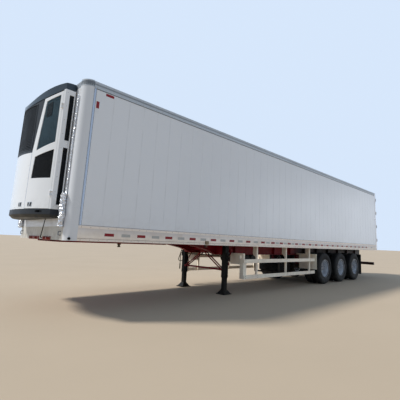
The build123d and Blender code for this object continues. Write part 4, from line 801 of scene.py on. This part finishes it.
class TRAILER_OT_reflectors(bpy.types.Operator):
    """Add the reflective tapes on the sides and at the rear"""

    bl_idname = "trailer.reflectors"
    bl_label = "Reflective tape"

    def execute(self, context):
        half = context.scene.trailer_detail.tape_height / 2
        middle = RAIL_FOOT + TAPE_LEVEL
        height = (middle - half, middle + half)
        red = Shape()
        white = Shape()
        places = []
        for first, pitch, count in TAPE_RUNS:
            places += [FRONT_X - first - pitch * step for step in range(count)]
        for x, after in zip(places, places[1:] + [REAR_X + 0.10]):
            red.side_strip(HALF, TAPE_RISE, (x - TAPE_REACH, x + TAPE_REACH), height)
            gap = (x - after) / 2
            reach = min(TAPE_REACH, gap - TAPE_REACH - 0.012)
            white.side_strip(HALF, TAPE_RISE, (x - gap - reach, x - gap + reach), height)
        upright = (FRONT_X - 0.276, FRONT_X - 0.224)
        red.side_strip(SKIN, TAPE_RISE, upright, (3.444, 3.567))
        red.side_strip(SKIN, TAPE_RISE, (FRONT_X - 0.538, FRONT_X - 0.375), (3.714, 3.762))
        faded = Shape()
        faded.side_strip(SKIN, TAPE_RISE, upright, (3.300, 3.440))
        both_sides(faded, "faded_tapes", "seam", "panel_white", 0)
        both_sides(red, "red_tapes", "red_tape", "plate_red", 0)
        both_sides(white, "white_tapes", "white_tape", "panel_white", 0)

        rear_red = Shape()
        rear_white = Shape()

        def rear_strip(shape, x, ends, height):
            shape.box((x - TAPE_RISE, ends[0], height[0]), (x + SINK, ends[1], height[1]))

        for step, y in enumerate(spaced(-HALF + 0.06, HALF - 0.15, 0.151)):
            shape = rear_white if step % 2 else rear_red
            rear_strip(shape, REAR_X, (y, y + 0.145), (RAIL_FOOT + 0.012, RAIL_FOOT + 0.055))
        for way in (-1, 1):
            corner = way * (HALF - 0.045)
            rear_strip(rear_white, REAR_X, (corner - 0.022, corner + 0.022), (3.56, 3.86))
            ends = sorted((way * (HALF - 0.07), way * (HALF - 0.37)))
            rear_strip(rear_white, REAR_X, ends, (3.816, 3.860))
        low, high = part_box("rear_bar")
        middle = low[2] + 0.06
        for step, y in enumerate(spaced(low[1] + 0.05, high[1] - 0.15, 0.156)):
            shape = rear_white if step % 2 else rear_red
            rear_strip(shape, low[0], (y, y + 0.15), (middle - half, middle + half))
        rear_red.place("rear_red_tapes", "red_tape", "plate_red", 0)
        rear_white.place("rear_white_tapes", "white_tape", "panel_white", 0)
        return {"FINISHED"}


def tyre_form(depth):
    """One tyre about the origin with its axle along Y: outline, grooves and shoulder blocks."""
    # Rings of the outline: place across, radius, and whether the shoulder blocks notch it
    rows = [
        (-0.101, 0.2925, 0), (-0.113, 0.318, 0), (-0.126, 0.345, 0), (-0.1385, 0.372, 0), (-0.137, 0.392, 0),
        (-0.138, 0.396, 0), (-0.1345, 0.430, 0), (-0.1355, 0.434, 0), (-0.132, 0.465, 0), (-0.124, 0.484, 1),
        (-0.1095, 0.512, 1), (-0.101, 0.5225, 1), (-0.072, 0.5235, 0),
    ]
    other_side = [(-across, radius, notched) for across, radius, notched in reversed(rows)]
    floor = TREAD_RADIUS - depth
    for middle in GROOVES:
        rows += [
            (middle - 0.0065, TREAD_RADIUS, 0), (middle - 0.0045, floor, 0),
            (middle + 0.0045, floor, 0), (middle + 0.0065, TREAD_RADIUS, 0),
        ]
    rows += other_side
    points = []
    for across, radius, notched in rows:
        for step in range(TREAD_STEPS):
            drop = BLOCK_DROP if notched and step % 4 in (0, 1) else 0.0
            angle = 2 * math.pi * step / TREAD_STEPS
            reach = radius - drop
            points.append((reach * math.sin(angle), across, reach * math.cos(angle)))
    return points, ring_faces(len(rows), TREAD_STEPS, closed=True)


class TRAILER_OT_tyres(bpy.types.Operator):
    """Replace the plain tyres with treaded ones"""

    bl_idname = "trailer.tyres"
    bl_label = "Tyres"

    def execute(self, context):
        points, faces = tyre_form(context.scene.trailer_detail.tread_depth)
        for number in AXLES:
            for side, _ in SIDES:
                node = f"tyres_{number}_{side}"
                low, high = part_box(node)
                x, _, z = middle_of(node)
                pair = Shape()
                for middle in (low[1] + TYRE_HALF, high[1] - TYRE_HALF):
                    pair.add([(px + x, py + middle, pz + z) for px, py, pz in points], faces)
                piece = pair.place(f"treads_{number}_{side}", "tyre", "tyre", 30, f"wheels_{number}_{side}")
                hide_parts(node)
        x, _, z = middle_of("spare_tyre")
        spare = Shape()
        spare.add([(px + x, pz, z + py) for px, py, pz in points], [face[::-1] for face in faces])
        piece = spare.place("spare_tread", "tyre", "tyre", 30)
        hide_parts("spare_tyre")
        return {"FINISHED"}


class TRAILER_OT_wheel_fittings(bpy.types.Operator):
    """Add the wheel nuts, hub bolts and valves"""

    bl_idname = "trailer.wheel_fittings"
    bl_label = "Wheel fittings"

    def execute(self, context):
        for number in AXLES:
            x, _, z = middle_of(f"rims_{number}_left")
            wheel = f"wheels_{number}_{{side}}"
            nuts = Shape()
            for centre in circle_places((x, NUT_FACE, z), NUT_CIRCLE, 10, 0.5):
                nuts.lathe([(0, 0.019), (0.004, 0.019)], centre, OUTWARD, 14)
                nuts.lathe([(0.004, 0.0165), (0.024, 0.0165), (0.027, 0.014)], centre, OUTWARD, 6)
                nuts.lathe([(0.027, 0.011), (0.042, 0.011), (0.043, 0.009)], centre, OUTWARD, 10)
            for centre in circle_places((x, HUB_FACE, z), HUB_CIRCLE, 8):
                nuts.hex_bolt(centre, OUTWARD, 0.0075, 0.007)
            both_sides(nuts, f"wheel_nuts_{number}", "steel", "stainless", body=wheel)
            valve = Shape()
            valve.tube([(x + 0.27, 1.02, z), (x + 0.262, 1.10, z), (x + 0.25, 1.19, z)], 0.004, 8)
            valve.lathe([(0, 0.0055), (0.02, 0.0055)], (x + 0.25, 1.188, z), OUTWARD, 10)
            both_sides(valve, f"valves_{number}", "seal", "flap_black", body=wheel)
        return {"FINISHED"}


def bow_x(y, offset=0.0):
    """The X of the cooling unit's bowed front, drawn in by an offset."""
    depth, side, half = BOW_DEPTH - offset, BOW_SIDE - offset, BOW_HALF - offset
    rise = depth - side
    radius = (rise ** 2 + half ** 2) / (2 * rise)
    return FRONT_X + depth - radius + math.sqrt(radius ** 2 - y ** 2)


def ends_at(outline, level):
    """The least and greatest first coordinate of an outline where its second one is at a level."""
    found = []
    for (y0, z0), (y1, z1) in zip(outline, outline[1:] + outline[:1]):
        if (z0 - level) * (z1 - level) <= 0 and z0 != z1:
            found.append(y0 + (y1 - y0) * (level - z0) / (z1 - z0))
    return min(found), max(found)


def bowed_plate(shape, low, high, out, thick=0.004):
    """A plate on the unit's bowed front, between a low and a high edge given as two (Y, Z) ends each."""
    steps = 8
    front = []
    for (y0, z0), (y1, z1) in (low, high):
        for step in range(steps + 1):
            share = step / steps
            y = y0 + (y1 - y0) * share
            front.append((bow_x(y) + out, y, z0 + (z1 - z0) * share))
    back = [(x - thick, y, z) for x, y, z in front]
    count = steps + 1
    faces = []
    for step in range(steps):
        faces.append((step, step + 1, count + step + 1, count + step))
        faces.append((2 * count + step, 3 * count + step, 3 * count + step + 1, 2 * count + step + 1))
        faces.append((step, 2 * count + step, 2 * count + step + 1, step + 1))
        faces.append((count + step, count + step + 1, 3 * count + step + 1, 3 * count + step))
    faces.append((0, count, 3 * count, 2 * count))
    faces.append((count - 1, 3 * count - 1, 4 * count - 1, 2 * count - 1))
    shape.add(front + back, faces)


def level_plate(shape, across, height, out, thick=0.004):
    """A bowed plate with level edges."""
    low, high = (((across[0], z), (across[1], z)) for z in height)
    bowed_plate(shape, low, high, out, thick)


class TRAILER_OT_unit_mesh(bpy.types.Operator):
    """Add the window mesh, latches and joints of the cooling unit"""

    bl_idname = "trailer.unit_mesh"
    bl_label = "Unit mesh"

    def execute(self, context):
        parts = 8
        for name, outline, pitch, finish in WINDOWS:
            across, heights = zip(*outline)
            turned = list(zip(heights, across))
            wires = Shape()
            for y in spaced(min(across) + pitch, max(across) - 0.004, pitch):
                foot, head = ends_at(turned, y)
                x = bow_x(y, 0.002)
                wires.box(
                    (x - 0.0016, y - WIRE_REACH, foot + WIRE_MARGIN), (x, y + WIRE_REACH, head - WIRE_MARGIN),
                )
            for z in spaced(min(heights) + pitch, max(heights) - 0.004, pitch):
                start, end = ends_at(outline, z)
                length = end - start - 2 * WIRE_MARGIN
                places = [start + WIRE_MARGIN + length * part / parts for part in range(parts + 1)]
                wires.tube([(bow_x(y, 0.0030), y, z) for y in places], WIRE_REACH, 4)
            both_sides(wires, f"window_wires_{name}", finish, "grille_black", body=SERVICE_DOOR)
        inlet = Shape()
        bowed_plate(inlet, ((0.655, 3.235), (0.763, 3.2674)), ((0.655, 3.475), (0.763, 3.5160)), -0.0042)
        both_sides(inlet, "window_inlet", "grille", "grille_black", 50, SERVICE_DOOR)
        joint = Shape()
        joint.box((FRONT_X - 0.0005, 0.932, 1.690), (FRONT_X + 0.0125, 0.9625, 3.725))
        both_sides(joint, "unit_joint", "seal", "flap_black", 0)
        seam = Shape()
        level_plate(seam, (0.4365, 0.4405), (1.690, 2.636), 0.0004, 0.003)
        both_sides(seam, "centre_seams", "trim", "flap_black", 0)

        door_plate = Shape()
        door_pull = Shape()
        fixed_plate = Shape()
        fixed_pull = Shape()
        latches = ((door_plate, door_pull, DOOR_LATCH_Y), (fixed_plate, fixed_pull, FIXED_LATCH_Y))
        for plate, pull, y in latches:
            level_plate(plate, (y, y + 0.098), (1.722, 1.796), 0.0030)
            level_plate(pull, (y + 0.010, y + 0.034), (1.732, 1.786), 0.0040)
            foot, head = ((y + 0.058, 1.730), (y + 0.084, 1.730)), ((y + 0.068, 1.788), (y + 0.092, 1.788))
            bowed_plate(pull, foot, head, 0.0060)
        both_sides(door_plate, "door_latch_plates", "band", "stainless", 50, SERVICE_DOOR)
        both_sides(door_pull, "door_latch_pulls", "grille", "grille_black", 50, SERVICE_DOOR)
        fixed_plate.place("fixed_latch_plate", "band", "stainless", 50)
        fixed_pull.place("fixed_latch_pull", "grille", "grille_black", 50)

        lining = Shape()
        floor = bow_x(0.770) - 0.014
        lining.box((floor - SINK, 0.716, 1.628), (floor + 0.0008, 0.798, 1.662))
        for across in ((0.700, 0.717), (0.794, 0.824)):
            level_plate(lining, across, (1.629, 1.661), 0.0012)
        both_sides(lining, "slot_linings", "grille", "grille_black", 50)
        return {"FINISHED"}


def rough_at(place):
    """How far a crumpled foil stands out or in at a place, at most 1."""
    folds = noise.voronoi(Vector((place.x, place.y, place.z * 0.7)) * 26.0)[0]
    return min(1.0, 1.6 * (folds[1] - folds[0]) - 0.35 + 0.3 * noise.noise(place * 60.0))


class TRAILER_OT_foil_wrap(bpy.types.Operator):
    """Replace the smooth conduits with crumpled foil ones of the same run"""

    bl_idname = "trailer.foil_wrap"
    bl_label = "Foil wrap"

    def execute(self, context):
        source = NODES["conduits"]
        place = source.matrix_world.copy()
        copied = bpy.data.objects.new("foil_wrap", source.data.copy())
        context.scene.collection.objects.link(copied)
        copied.matrix_world = place
        remesh = copied.modifiers.new("even", "REMESH")
        remesh.mode = "VOXEL"
        remesh.voxel_size = FOIL_GRAIN
        context.view_layer.update()
        mesh = bpy.data.meshes.new_from_object(copied.evaluated_get(context.evaluated_depsgraph_get()))
        bpy.data.objects.remove(copied)
        turn = place.to_3x3()
        wall = FRONT_X + 0.004
        for point in mesh.vertices:
            here = place @ point.co
            depth = FOIL_LOOSE if here.z < FOIL_CHANGE else FOIL_TIGHT
            moved = here + (turn @ point.normal) * depth * rough_at(here)
            point.co = Vector((max(moved.x, min(here.x, wall)), moved.y, moved.z))
        mesh.materials.clear()
        mesh.materials.append(FINISHES["foil"])
        piece = bpy.data.objects.new("foil_wrap", mesh)
        context.scene.collection.objects.link(piece)
        for face in mesh.polygons:
            face.material_index = 0
            face.use_smooth = True
        mesh.set_sharp_from_angle(angle=math.radians(28))
        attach(piece, "trailer")
        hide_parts("conduits")
        return {"FINISHED"}


class TRAILER_OT_rear_trim(bpy.types.Operator):
    """Add the rear doors' seals and bolts"""

    bl_idname = "trailer.rear_trim"
    bl_label = "Rear door trim"

    def execute(self, context):
        low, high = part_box("door_left")
        x0, x1 = low[0] + 0.012, low[0] + 0.040
        thick = 0.0035
        seal = Shape()
        seal.box((x0, high[1], low[2]), (x1, high[1] + thick, high[2]))
        seal.box((x0, low[1] - thick, low[2]), (x1, low[1], high[2]))
        seal.box((x0, low[1], high[2]), (x1, high[1], high[2] + thick))
        seal.box((x0, low[1], low[2] - thick), (x1, high[1], low[2]))
        both_sides(seal, "door_seals", "seal", "flap_black", 0, REAR_DOOR)
        bolts = Shape()
        hinges = 4
        margin = 0.2
        spacing = (high[2] - low[2] - 2 * margin) / (hinges - 1)
        for step in range(hinges):
            z = low[2] + margin + step * spacing
            for up in (-0.036, 0.0, 0.036):
                bolts.hex_bolt((REAR_X - 0.013, HINGE_Y, z + up), BEHIND, 0.007, 0.0045)
        both_sides(bolts, "hinge_bolts", "steel", "stainless", body=REAR_DOOR)
        rivets = Shape()
        lowest, apart = 1.6, 0.3
        for step in range(8):
            rivets.rivet((REAR_X, HALF - 0.075, lowest + apart * step), BEHIND, 0.006, 0.003)
        both_sides(rivets, "frame_rivets", "steel", "stainless")
        return {"FINISHED"}


class TRAILER_OT_lamp_lenses(bpy.types.Operator):
    """Add the lenses of the side, hanging and tail lamps"""

    bl_idname = "trailer.lamp_lenses"
    bl_label = "Lamp lenses"

    def execute(self, context):
        x = SIDE_LAMP_X
        side = Shape()
        side.side_strip(HALF, 0.006, (x - 0.052, x + 0.052), (1.210, 1.286))
        side.box((x - 0.048, HALF + 0.005, 1.214), (x + 0.048, HALF + 0.018, 1.282))
        for step in range(8):
            z = 1.220 + 0.0076 * step
            side.box((x - 0.045, HALF + 0.0175, z), (x + 0.045, HALF + 0.0195, z + 0.003))
        both_sides(side, "side_lenses", "dull_amber", "plate_red")
        hung = Shape()
        hung.box((x - 0.027, HALF - 0.0105, 1.146), (x + 0.027, HALF - 0.0070, 1.196))
        for step in range(4):
            z = 1.151 + 0.011 * step
            hung.box((x - 0.025, HALF - 0.0075, z), (x + 0.025, HALF - 0.0055, z + 0.006))
        both_sides(hung, "hung_lenses", "brown_lens", "plate_red")
        profile = [(0.012, 0.0415), (0.018, 0.040), (0.0205, 0.030), (0.0215, 0.012)]
        for step, finish in enumerate(("red_lens", "amber", "clear_lens")):
            lens = Shape()
            centre = (REAR_X, HALF - 0.110 - 0.118 * step, RAIL_FOOT + 0.115)
            lens.lathe(profile, centre, BEHIND, 28)
            both_sides(lens, f"tail_lens_{step + 1}", finish, "plate_red")
        return {"FINISHED"}


class TRAILER_OT_chassis_bolts(bpy.types.Operator):
    """Add the bolts of the hangers, clamps, guards and legs"""

    bl_idname = "trailer.chassis_bolts"
    bl_label = "Chassis bolts"

    def execute(self, context):
        bolts = Shape()
        low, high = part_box("spring_hangers")
        hanger_face, half_hanger, hangers = 0.540, 0.11, 4
        spring_y, clamp_top = 0.480, 0.7145
        for step in range(hangers):
            x = high[0] - half_hanger - step * (high[0] - low[0] - 2 * half_hanger) / (hangers - 1)
            for dx in (-0.075, 0.075):
                for z in (0.80, 0.90):
                    bolts.hex_bolt((x + dx, hanger_face, z), OUTWARD, 0.012, 0.010)
            bolts.hex_bolt((x, hanger_face, 0.70), OUTWARD, 0.018, 0.014)
        for number in AXLES:
            x = middle_of(f"rims_{number}_left")[0]
            for dx in (-0.05, 0.05):
                for dy in (-0.056, 0.056):
                    bolts.hex_bolt((x + dx, spring_y + dy, clamp_top), UPWARD, 0.012, 0.012)
        front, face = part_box("side_guards")[1][:2]
        for x in (front - 0.06, FRONT_X - 4.9375, FRONT_X - 6.3475, FRONT_X - 7.7575):
            for z in (0.43, 0.825):
                for up in (-0.025, 0.025):
                    bolts.hex_bolt((x, face, z + up), OUTWARD, 0.007, 0.005)
        both_sides(bolts, "chassis_bolts", "zinc", "member_grey")

        lid = Shape()
        x = front - 0.200
        lid_face = 1.0485
        lid.box((x + 0.012, 1.044, 0.750), (x + 0.118, lid_face, 0.952))
        lid.box((x + 0.050, 1.048, 0.925), (x + 0.080, 1.056, 0.945))
        for z in (0.760, 0.942):
            for dx in (0.020, 0.110):
                lid.rivet((x + dx, lid_face, z), OUTWARD, 0.005, 0.002)
        both_sides(lid, "valve_box_lid", "guard", "guard_white")

        legs = Shape()
        x = middle_of("landing_legs")[0]
        leg_face = 0.900
        for dx in (-0.042, 0.042):
            for z in (0.866, 0.994):
                legs.hex_bolt((x + dx, leg_face, z), OUTWARD, 0.008, 0.006)
        for z in (0.42, 0.45):
            legs.box((x - 0.063, 0.727, z), (x + 0.063, 0.853, z + 0.012))
        both_sides(legs, "leg_bolts", "black", "leg_black")
        return {"FINISHED"}


class TRAILER_OT_small_fittings(bpy.types.Operator):
    """Add the flap ribs, tank straps, cap lips and the cooling unit's screws"""

    bl_idname = "trailer.small_fittings"
    bl_label = "Small fittings"

    def execute(self, context):
        low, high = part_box("mud_flaps")
        back, sunk = low[0], low[0] + SINK
        flaps = Shape()
        for y in spaced(0.665, high[1] - 0.02, 0.03):
            flaps.box((back - 0.0025, y - 0.004, low[2] + 0.03), (sunk, y + 0.004, high[2] - 0.065))
        both_sides(flaps, "flap_ribs", "flap", "flap_black", 0)
        clamps = Shape()
        clamps.box((back - 0.004, 0.650, high[2] - 0.048), (sunk, high[1] - 0.008, high[2] - 0.006))
        for step in range(7):
            clamps.hex_bolt((back - 0.004, 0.68 + 0.088 * step, high[2] - 0.027), BEHIND, 0.006, 0.005)
        both_sides(clamps, "flap_clamps", "zinc", "member_grey")

        straps = Shape()
        low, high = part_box("air_tanks")
        radius = (high[2] - low[2]) / 2
        inner, outer = radius + 0.0005, radius + 0.003
        z = low[2] + radius
        for x in (low[0] + radius, high[0] - radius):
            for y in (-0.32, 0.32):
                band = [(-0.02, inner), (-0.02, outer), (0.02, outer), (0.02, inner)]
                straps.lathe(band, (x, y, z), OUTWARD, 40)
                straps.hex_bolt((x + radius * 0.72, y, z + radius * 0.72), (1, 0, 1), 0.008, 0.008)
        straps.place("tank_straps", "zinc", "member_grey")

        # Lips around the foot and the head of the rounded corner caps, and a row of rivets
        lips = Shape()
        low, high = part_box("corner_caps")
        radius = high[0] - low[0]
        x, y = low[0], high[1] - radius
        count = 16
        ring = count + 1
        faces = []
        for step in range(count):
            for a, b in ((0, 1), (1, 3), (3, 2), (2, 0)):
                faces.append((a * ring + step, a * ring + step + 1, b * ring + step + 1, b * ring + step))
        faces.append((0, ring, 3 * ring, 2 * ring))
        faces.append((count, 2 * ring + count, 3 * ring + count, ring + count))
        for heights in ((low[2] + 0.002, low[2] + 0.016), (high[2] - 0.020, high[2] - 0.004)):
            points = []
            for z in heights:
                for reach in (radius - SINK, radius + 0.0025):
                    for step in range(ring):
                        angle = math.radians(2 + 86 * step / count)
                        points.append((x + reach * math.cos(angle), y + reach * math.sin(angle), z))
            lips.add(points, faces)
        for step in range(7):
            angle = math.radians(9 + 12 * step)
            way = (math.cos(angle), math.sin(angle), 0)
            place = (x + radius * way[0], y + radius * way[1], low[2] + 0.034)
            lips.rivet(place, way, 0.006, 0.0025)
        both_sides(lips, "corner_lips", "band", "rail_grey")

        screws = Shape()
        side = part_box("unit_panels")[1][1]
        for z in spaced(1.725, 3.70, 0.244):
            for x in (FRONT_X + 0.022, FRONT_X + 0.140):
                screws.rivet((x, side, z), OUTWARD, 0.0055, 0.002)
        for z in (1.76, 1.98, 2.20, 2.42):
            screws.rivet((bow_x(0.405), 0.405, z), (1, 0.25, 0), 0.0055, 0.002)
        for y in (0.11, 0.24, 0.37):
            screws.rivet((bow_x(y), y, 1.712), (1, 0.6 * y, 0), 0.0055, 0.002)
        both_sides(screws, "unit_screws", "stud", "stainless")
        return {"FINISHED"}


class TRAILER_OT_stage(bpy.types.Operator):
    """Set the floor, the lights and the camera"""

    bl_idname = "trailer.stage"
    bl_label = "Stage"

    def execute(self, context):
        scene = context.scene
        self.lay_floor(scene)
        self.set_sky(scene)
        self.hang_lights(scene)
        self.set_camera(scene)
        scene.view_settings.view_transform = "Standard"
        return {"FINISHED"}

    def lay_floor(self, scene):
        colour = scene.trailer_finish.floor
        mesh = bpy.data.meshes.new("stage_floor")
        ways = ((-1, -1), (1, -1), (1, 1), (-1, 1))
        corners = [(x * FLOOR_REACH, y * FLOOR_REACH, FLOOR_LEVEL) for x, y in ways]
        mesh.from_pydata(corners, [], [(0, 1, 2, 3)])
        floor = bpy.data.objects.new("stage_floor", mesh)
        scene.collection.objects.link(floor)
        ground = Nodes("floor_finish")
        cloud = ground.ranged(ground.noise(0.5, 5.0), 0.3, 0.7)
        ground.set(Base_Color=ground.mixed(cloud, scaled(colour, 0.95), colour), Roughness=0.85)
        mesh.materials.append(ground.material)

    def set_sky(self, scene):
        """A soft sky light, with an even background where the camera, metal or glass shows it."""
        world = bpy.data.worlds.new("soft_sky")
        scene.world = world
        world.use_nodes = True
        tree = world.node_tree
        light = tree.nodes["Background"]
        light.inputs["Color"].default_value = SKY_LIGHT
        light.inputs["Strength"].default_value = SKY_POWER
        seen = tree.nodes.new("ShaderNodeBackground")
        seen.inputs["Color"].default_value = SKY_SEEN
        seen.inputs["Strength"].default_value = 1.0
        path = tree.nodes.new("ShaderNodeLightPath")
        shown = path.outputs["Is Camera Ray"]
        for ray in ("Is Glossy Ray", "Is Transmission Ray"):
            either = tree.nodes.new("ShaderNodeMath")
            either.operation = "MAXIMUM"
            tree.links.new(shown, either.inputs[0])
            tree.links.new(path.outputs[ray], either.inputs[1])
            shown = either.outputs[0]
        mix = tree.nodes.new("ShaderNodeMixShader")
        for index, output in enumerate((shown, light.outputs[0], seen.outputs[0])):
            tree.links.new(output, mix.inputs[index])
        tree.links.new(mix.outputs[0], tree.nodes["World Output"].inputs[0])

    def hang_lights(self, scene):
        sun = bpy.data.lights.new("key_light", "SUN")
        sun.energy = SUN_POWER
        sun.angle = math.radians(SUN_SPREAD)
        sun.color = SUN_COLOUR
        key = bpy.data.objects.new("key_light", sun)
        key.rotation_euler = Vector(SUN_WAY).to_track_quat("-Z", "Y").to_euler()
        scene.collection.objects.link(key)
        panel = bpy.data.lights.new("fill_light", "AREA")
        panel.shape = "RECTANGLE"
        panel.size, panel.size_y = FILL_SIZE
        panel.energy = FILL_POWER
        panel.color = FILL_COLOUR
        fill = bpy.data.objects.new("fill_light", panel)
        fill.location = FILL_PLACE
        fill.rotation_euler = (Vector(FILL_AIM) - fill.location).to_track_quat("-Z", "Y").to_euler()
        scene.collection.objects.link(fill)

    def set_camera(self, scene):
        yaw, pitch, roll = (math.radians(angle) for angle in (CAMERA_YAW, CAMERA_PITCH, CAMERA_ROLL))
        ahead = Vector((math.cos(pitch) * math.cos(yaw), math.cos(pitch) * math.sin(yaw), math.sin(pitch)))
        aside = ahead.cross(Vector(UPWARD)).normalized()
        above = aside.cross(ahead)
        rolled_aside = aside * math.cos(roll) + above * math.sin(roll)
        rolled_above = above * math.cos(roll) - aside * math.sin(roll)
        lens = bpy.data.cameras.new("photo_camera")
        lens.lens = CAMERA_LENS
        lens.sensor_width = 36.0
        lens.shift_x, lens.shift_y = CAMERA_SHIFT
        lens.clip_end = 900.0
        camera = bpy.data.objects.new("photo_camera", lens)
        turn = Matrix((rolled_aside, rolled_above, -ahead)).transposed().to_4x4()
        camera.matrix_world = Matrix.Translation(CAMERA_PLACE) @ turn
        scene.collection.objects.link(camera)
        scene.camera = camera


OPERATORS = (
    TRAILER_OT_stage, TRAILER_OT_finishes, TRAILER_OT_wall_seams, TRAILER_OT_reflectors, TRAILER_OT_tyres,
    TRAILER_OT_wheel_fittings, TRAILER_OT_unit_mesh, TRAILER_OT_foil_wrap, TRAILER_OT_rear_trim,
    TRAILER_OT_lamp_lenses, TRAILER_OT_chassis_bolts, TRAILER_OT_small_fittings,
)


class TRAILER_PT_panel(bpy.types.Panel):
    """Lists the trailer's sizes, colours and operators."""

    bl_idname = "TRAILER_PT_panel"
    bl_label = "Trailer"
    bl_space_type = "VIEW_3D"
    bl_region_type = "UI"
    bl_category = "Trailer"

    def draw(self, context):
        for group in (context.scene.trailer_finish, context.scene.trailer_detail):
            column = self.layout.column()
            for name in group.__annotations__:
                column.prop(group, name)
        for operator in OPERATORS:
            self.layout.operator(operator.bl_idname)


CLASSES = (TrailerFinish, TrailerDetail, *OPERATORS, TRAILER_PT_panel)


def register():
    for item in CLASSES:
        bpy.utils.register_class(item)
    bpy.types.Scene.trailer_finish = bpy.props.PointerProperty(type=TrailerFinish)
    bpy.types.Scene.trailer_detail = bpy.props.PointerProperty(type=TrailerDetail)


def unregister():
    del bpy.types.Scene.trailer_detail
    del bpy.types.Scene.trailer_finish
    for item in reversed(CLASSES):
        bpy.utils.unregister_class(item)


def main():
    register()
    bpy.ops.trailer.stage()
    bpy.ops.trailer.finishes()
    bpy.ops.trailer.wall_seams()
    bpy.ops.trailer.reflectors()
    bpy.ops.trailer.tyres()
    bpy.ops.trailer.wheel_fittings()
    bpy.ops.trailer.unit_mesh()
    bpy.ops.trailer.foil_wrap()
    bpy.ops.trailer.rear_trim()
    bpy.ops.trailer.lamp_lenses()
    bpy.ops.trailer.chassis_bolts()
    bpy.ops.trailer.small_fittings()


if __name__ == "__main__":
    main()
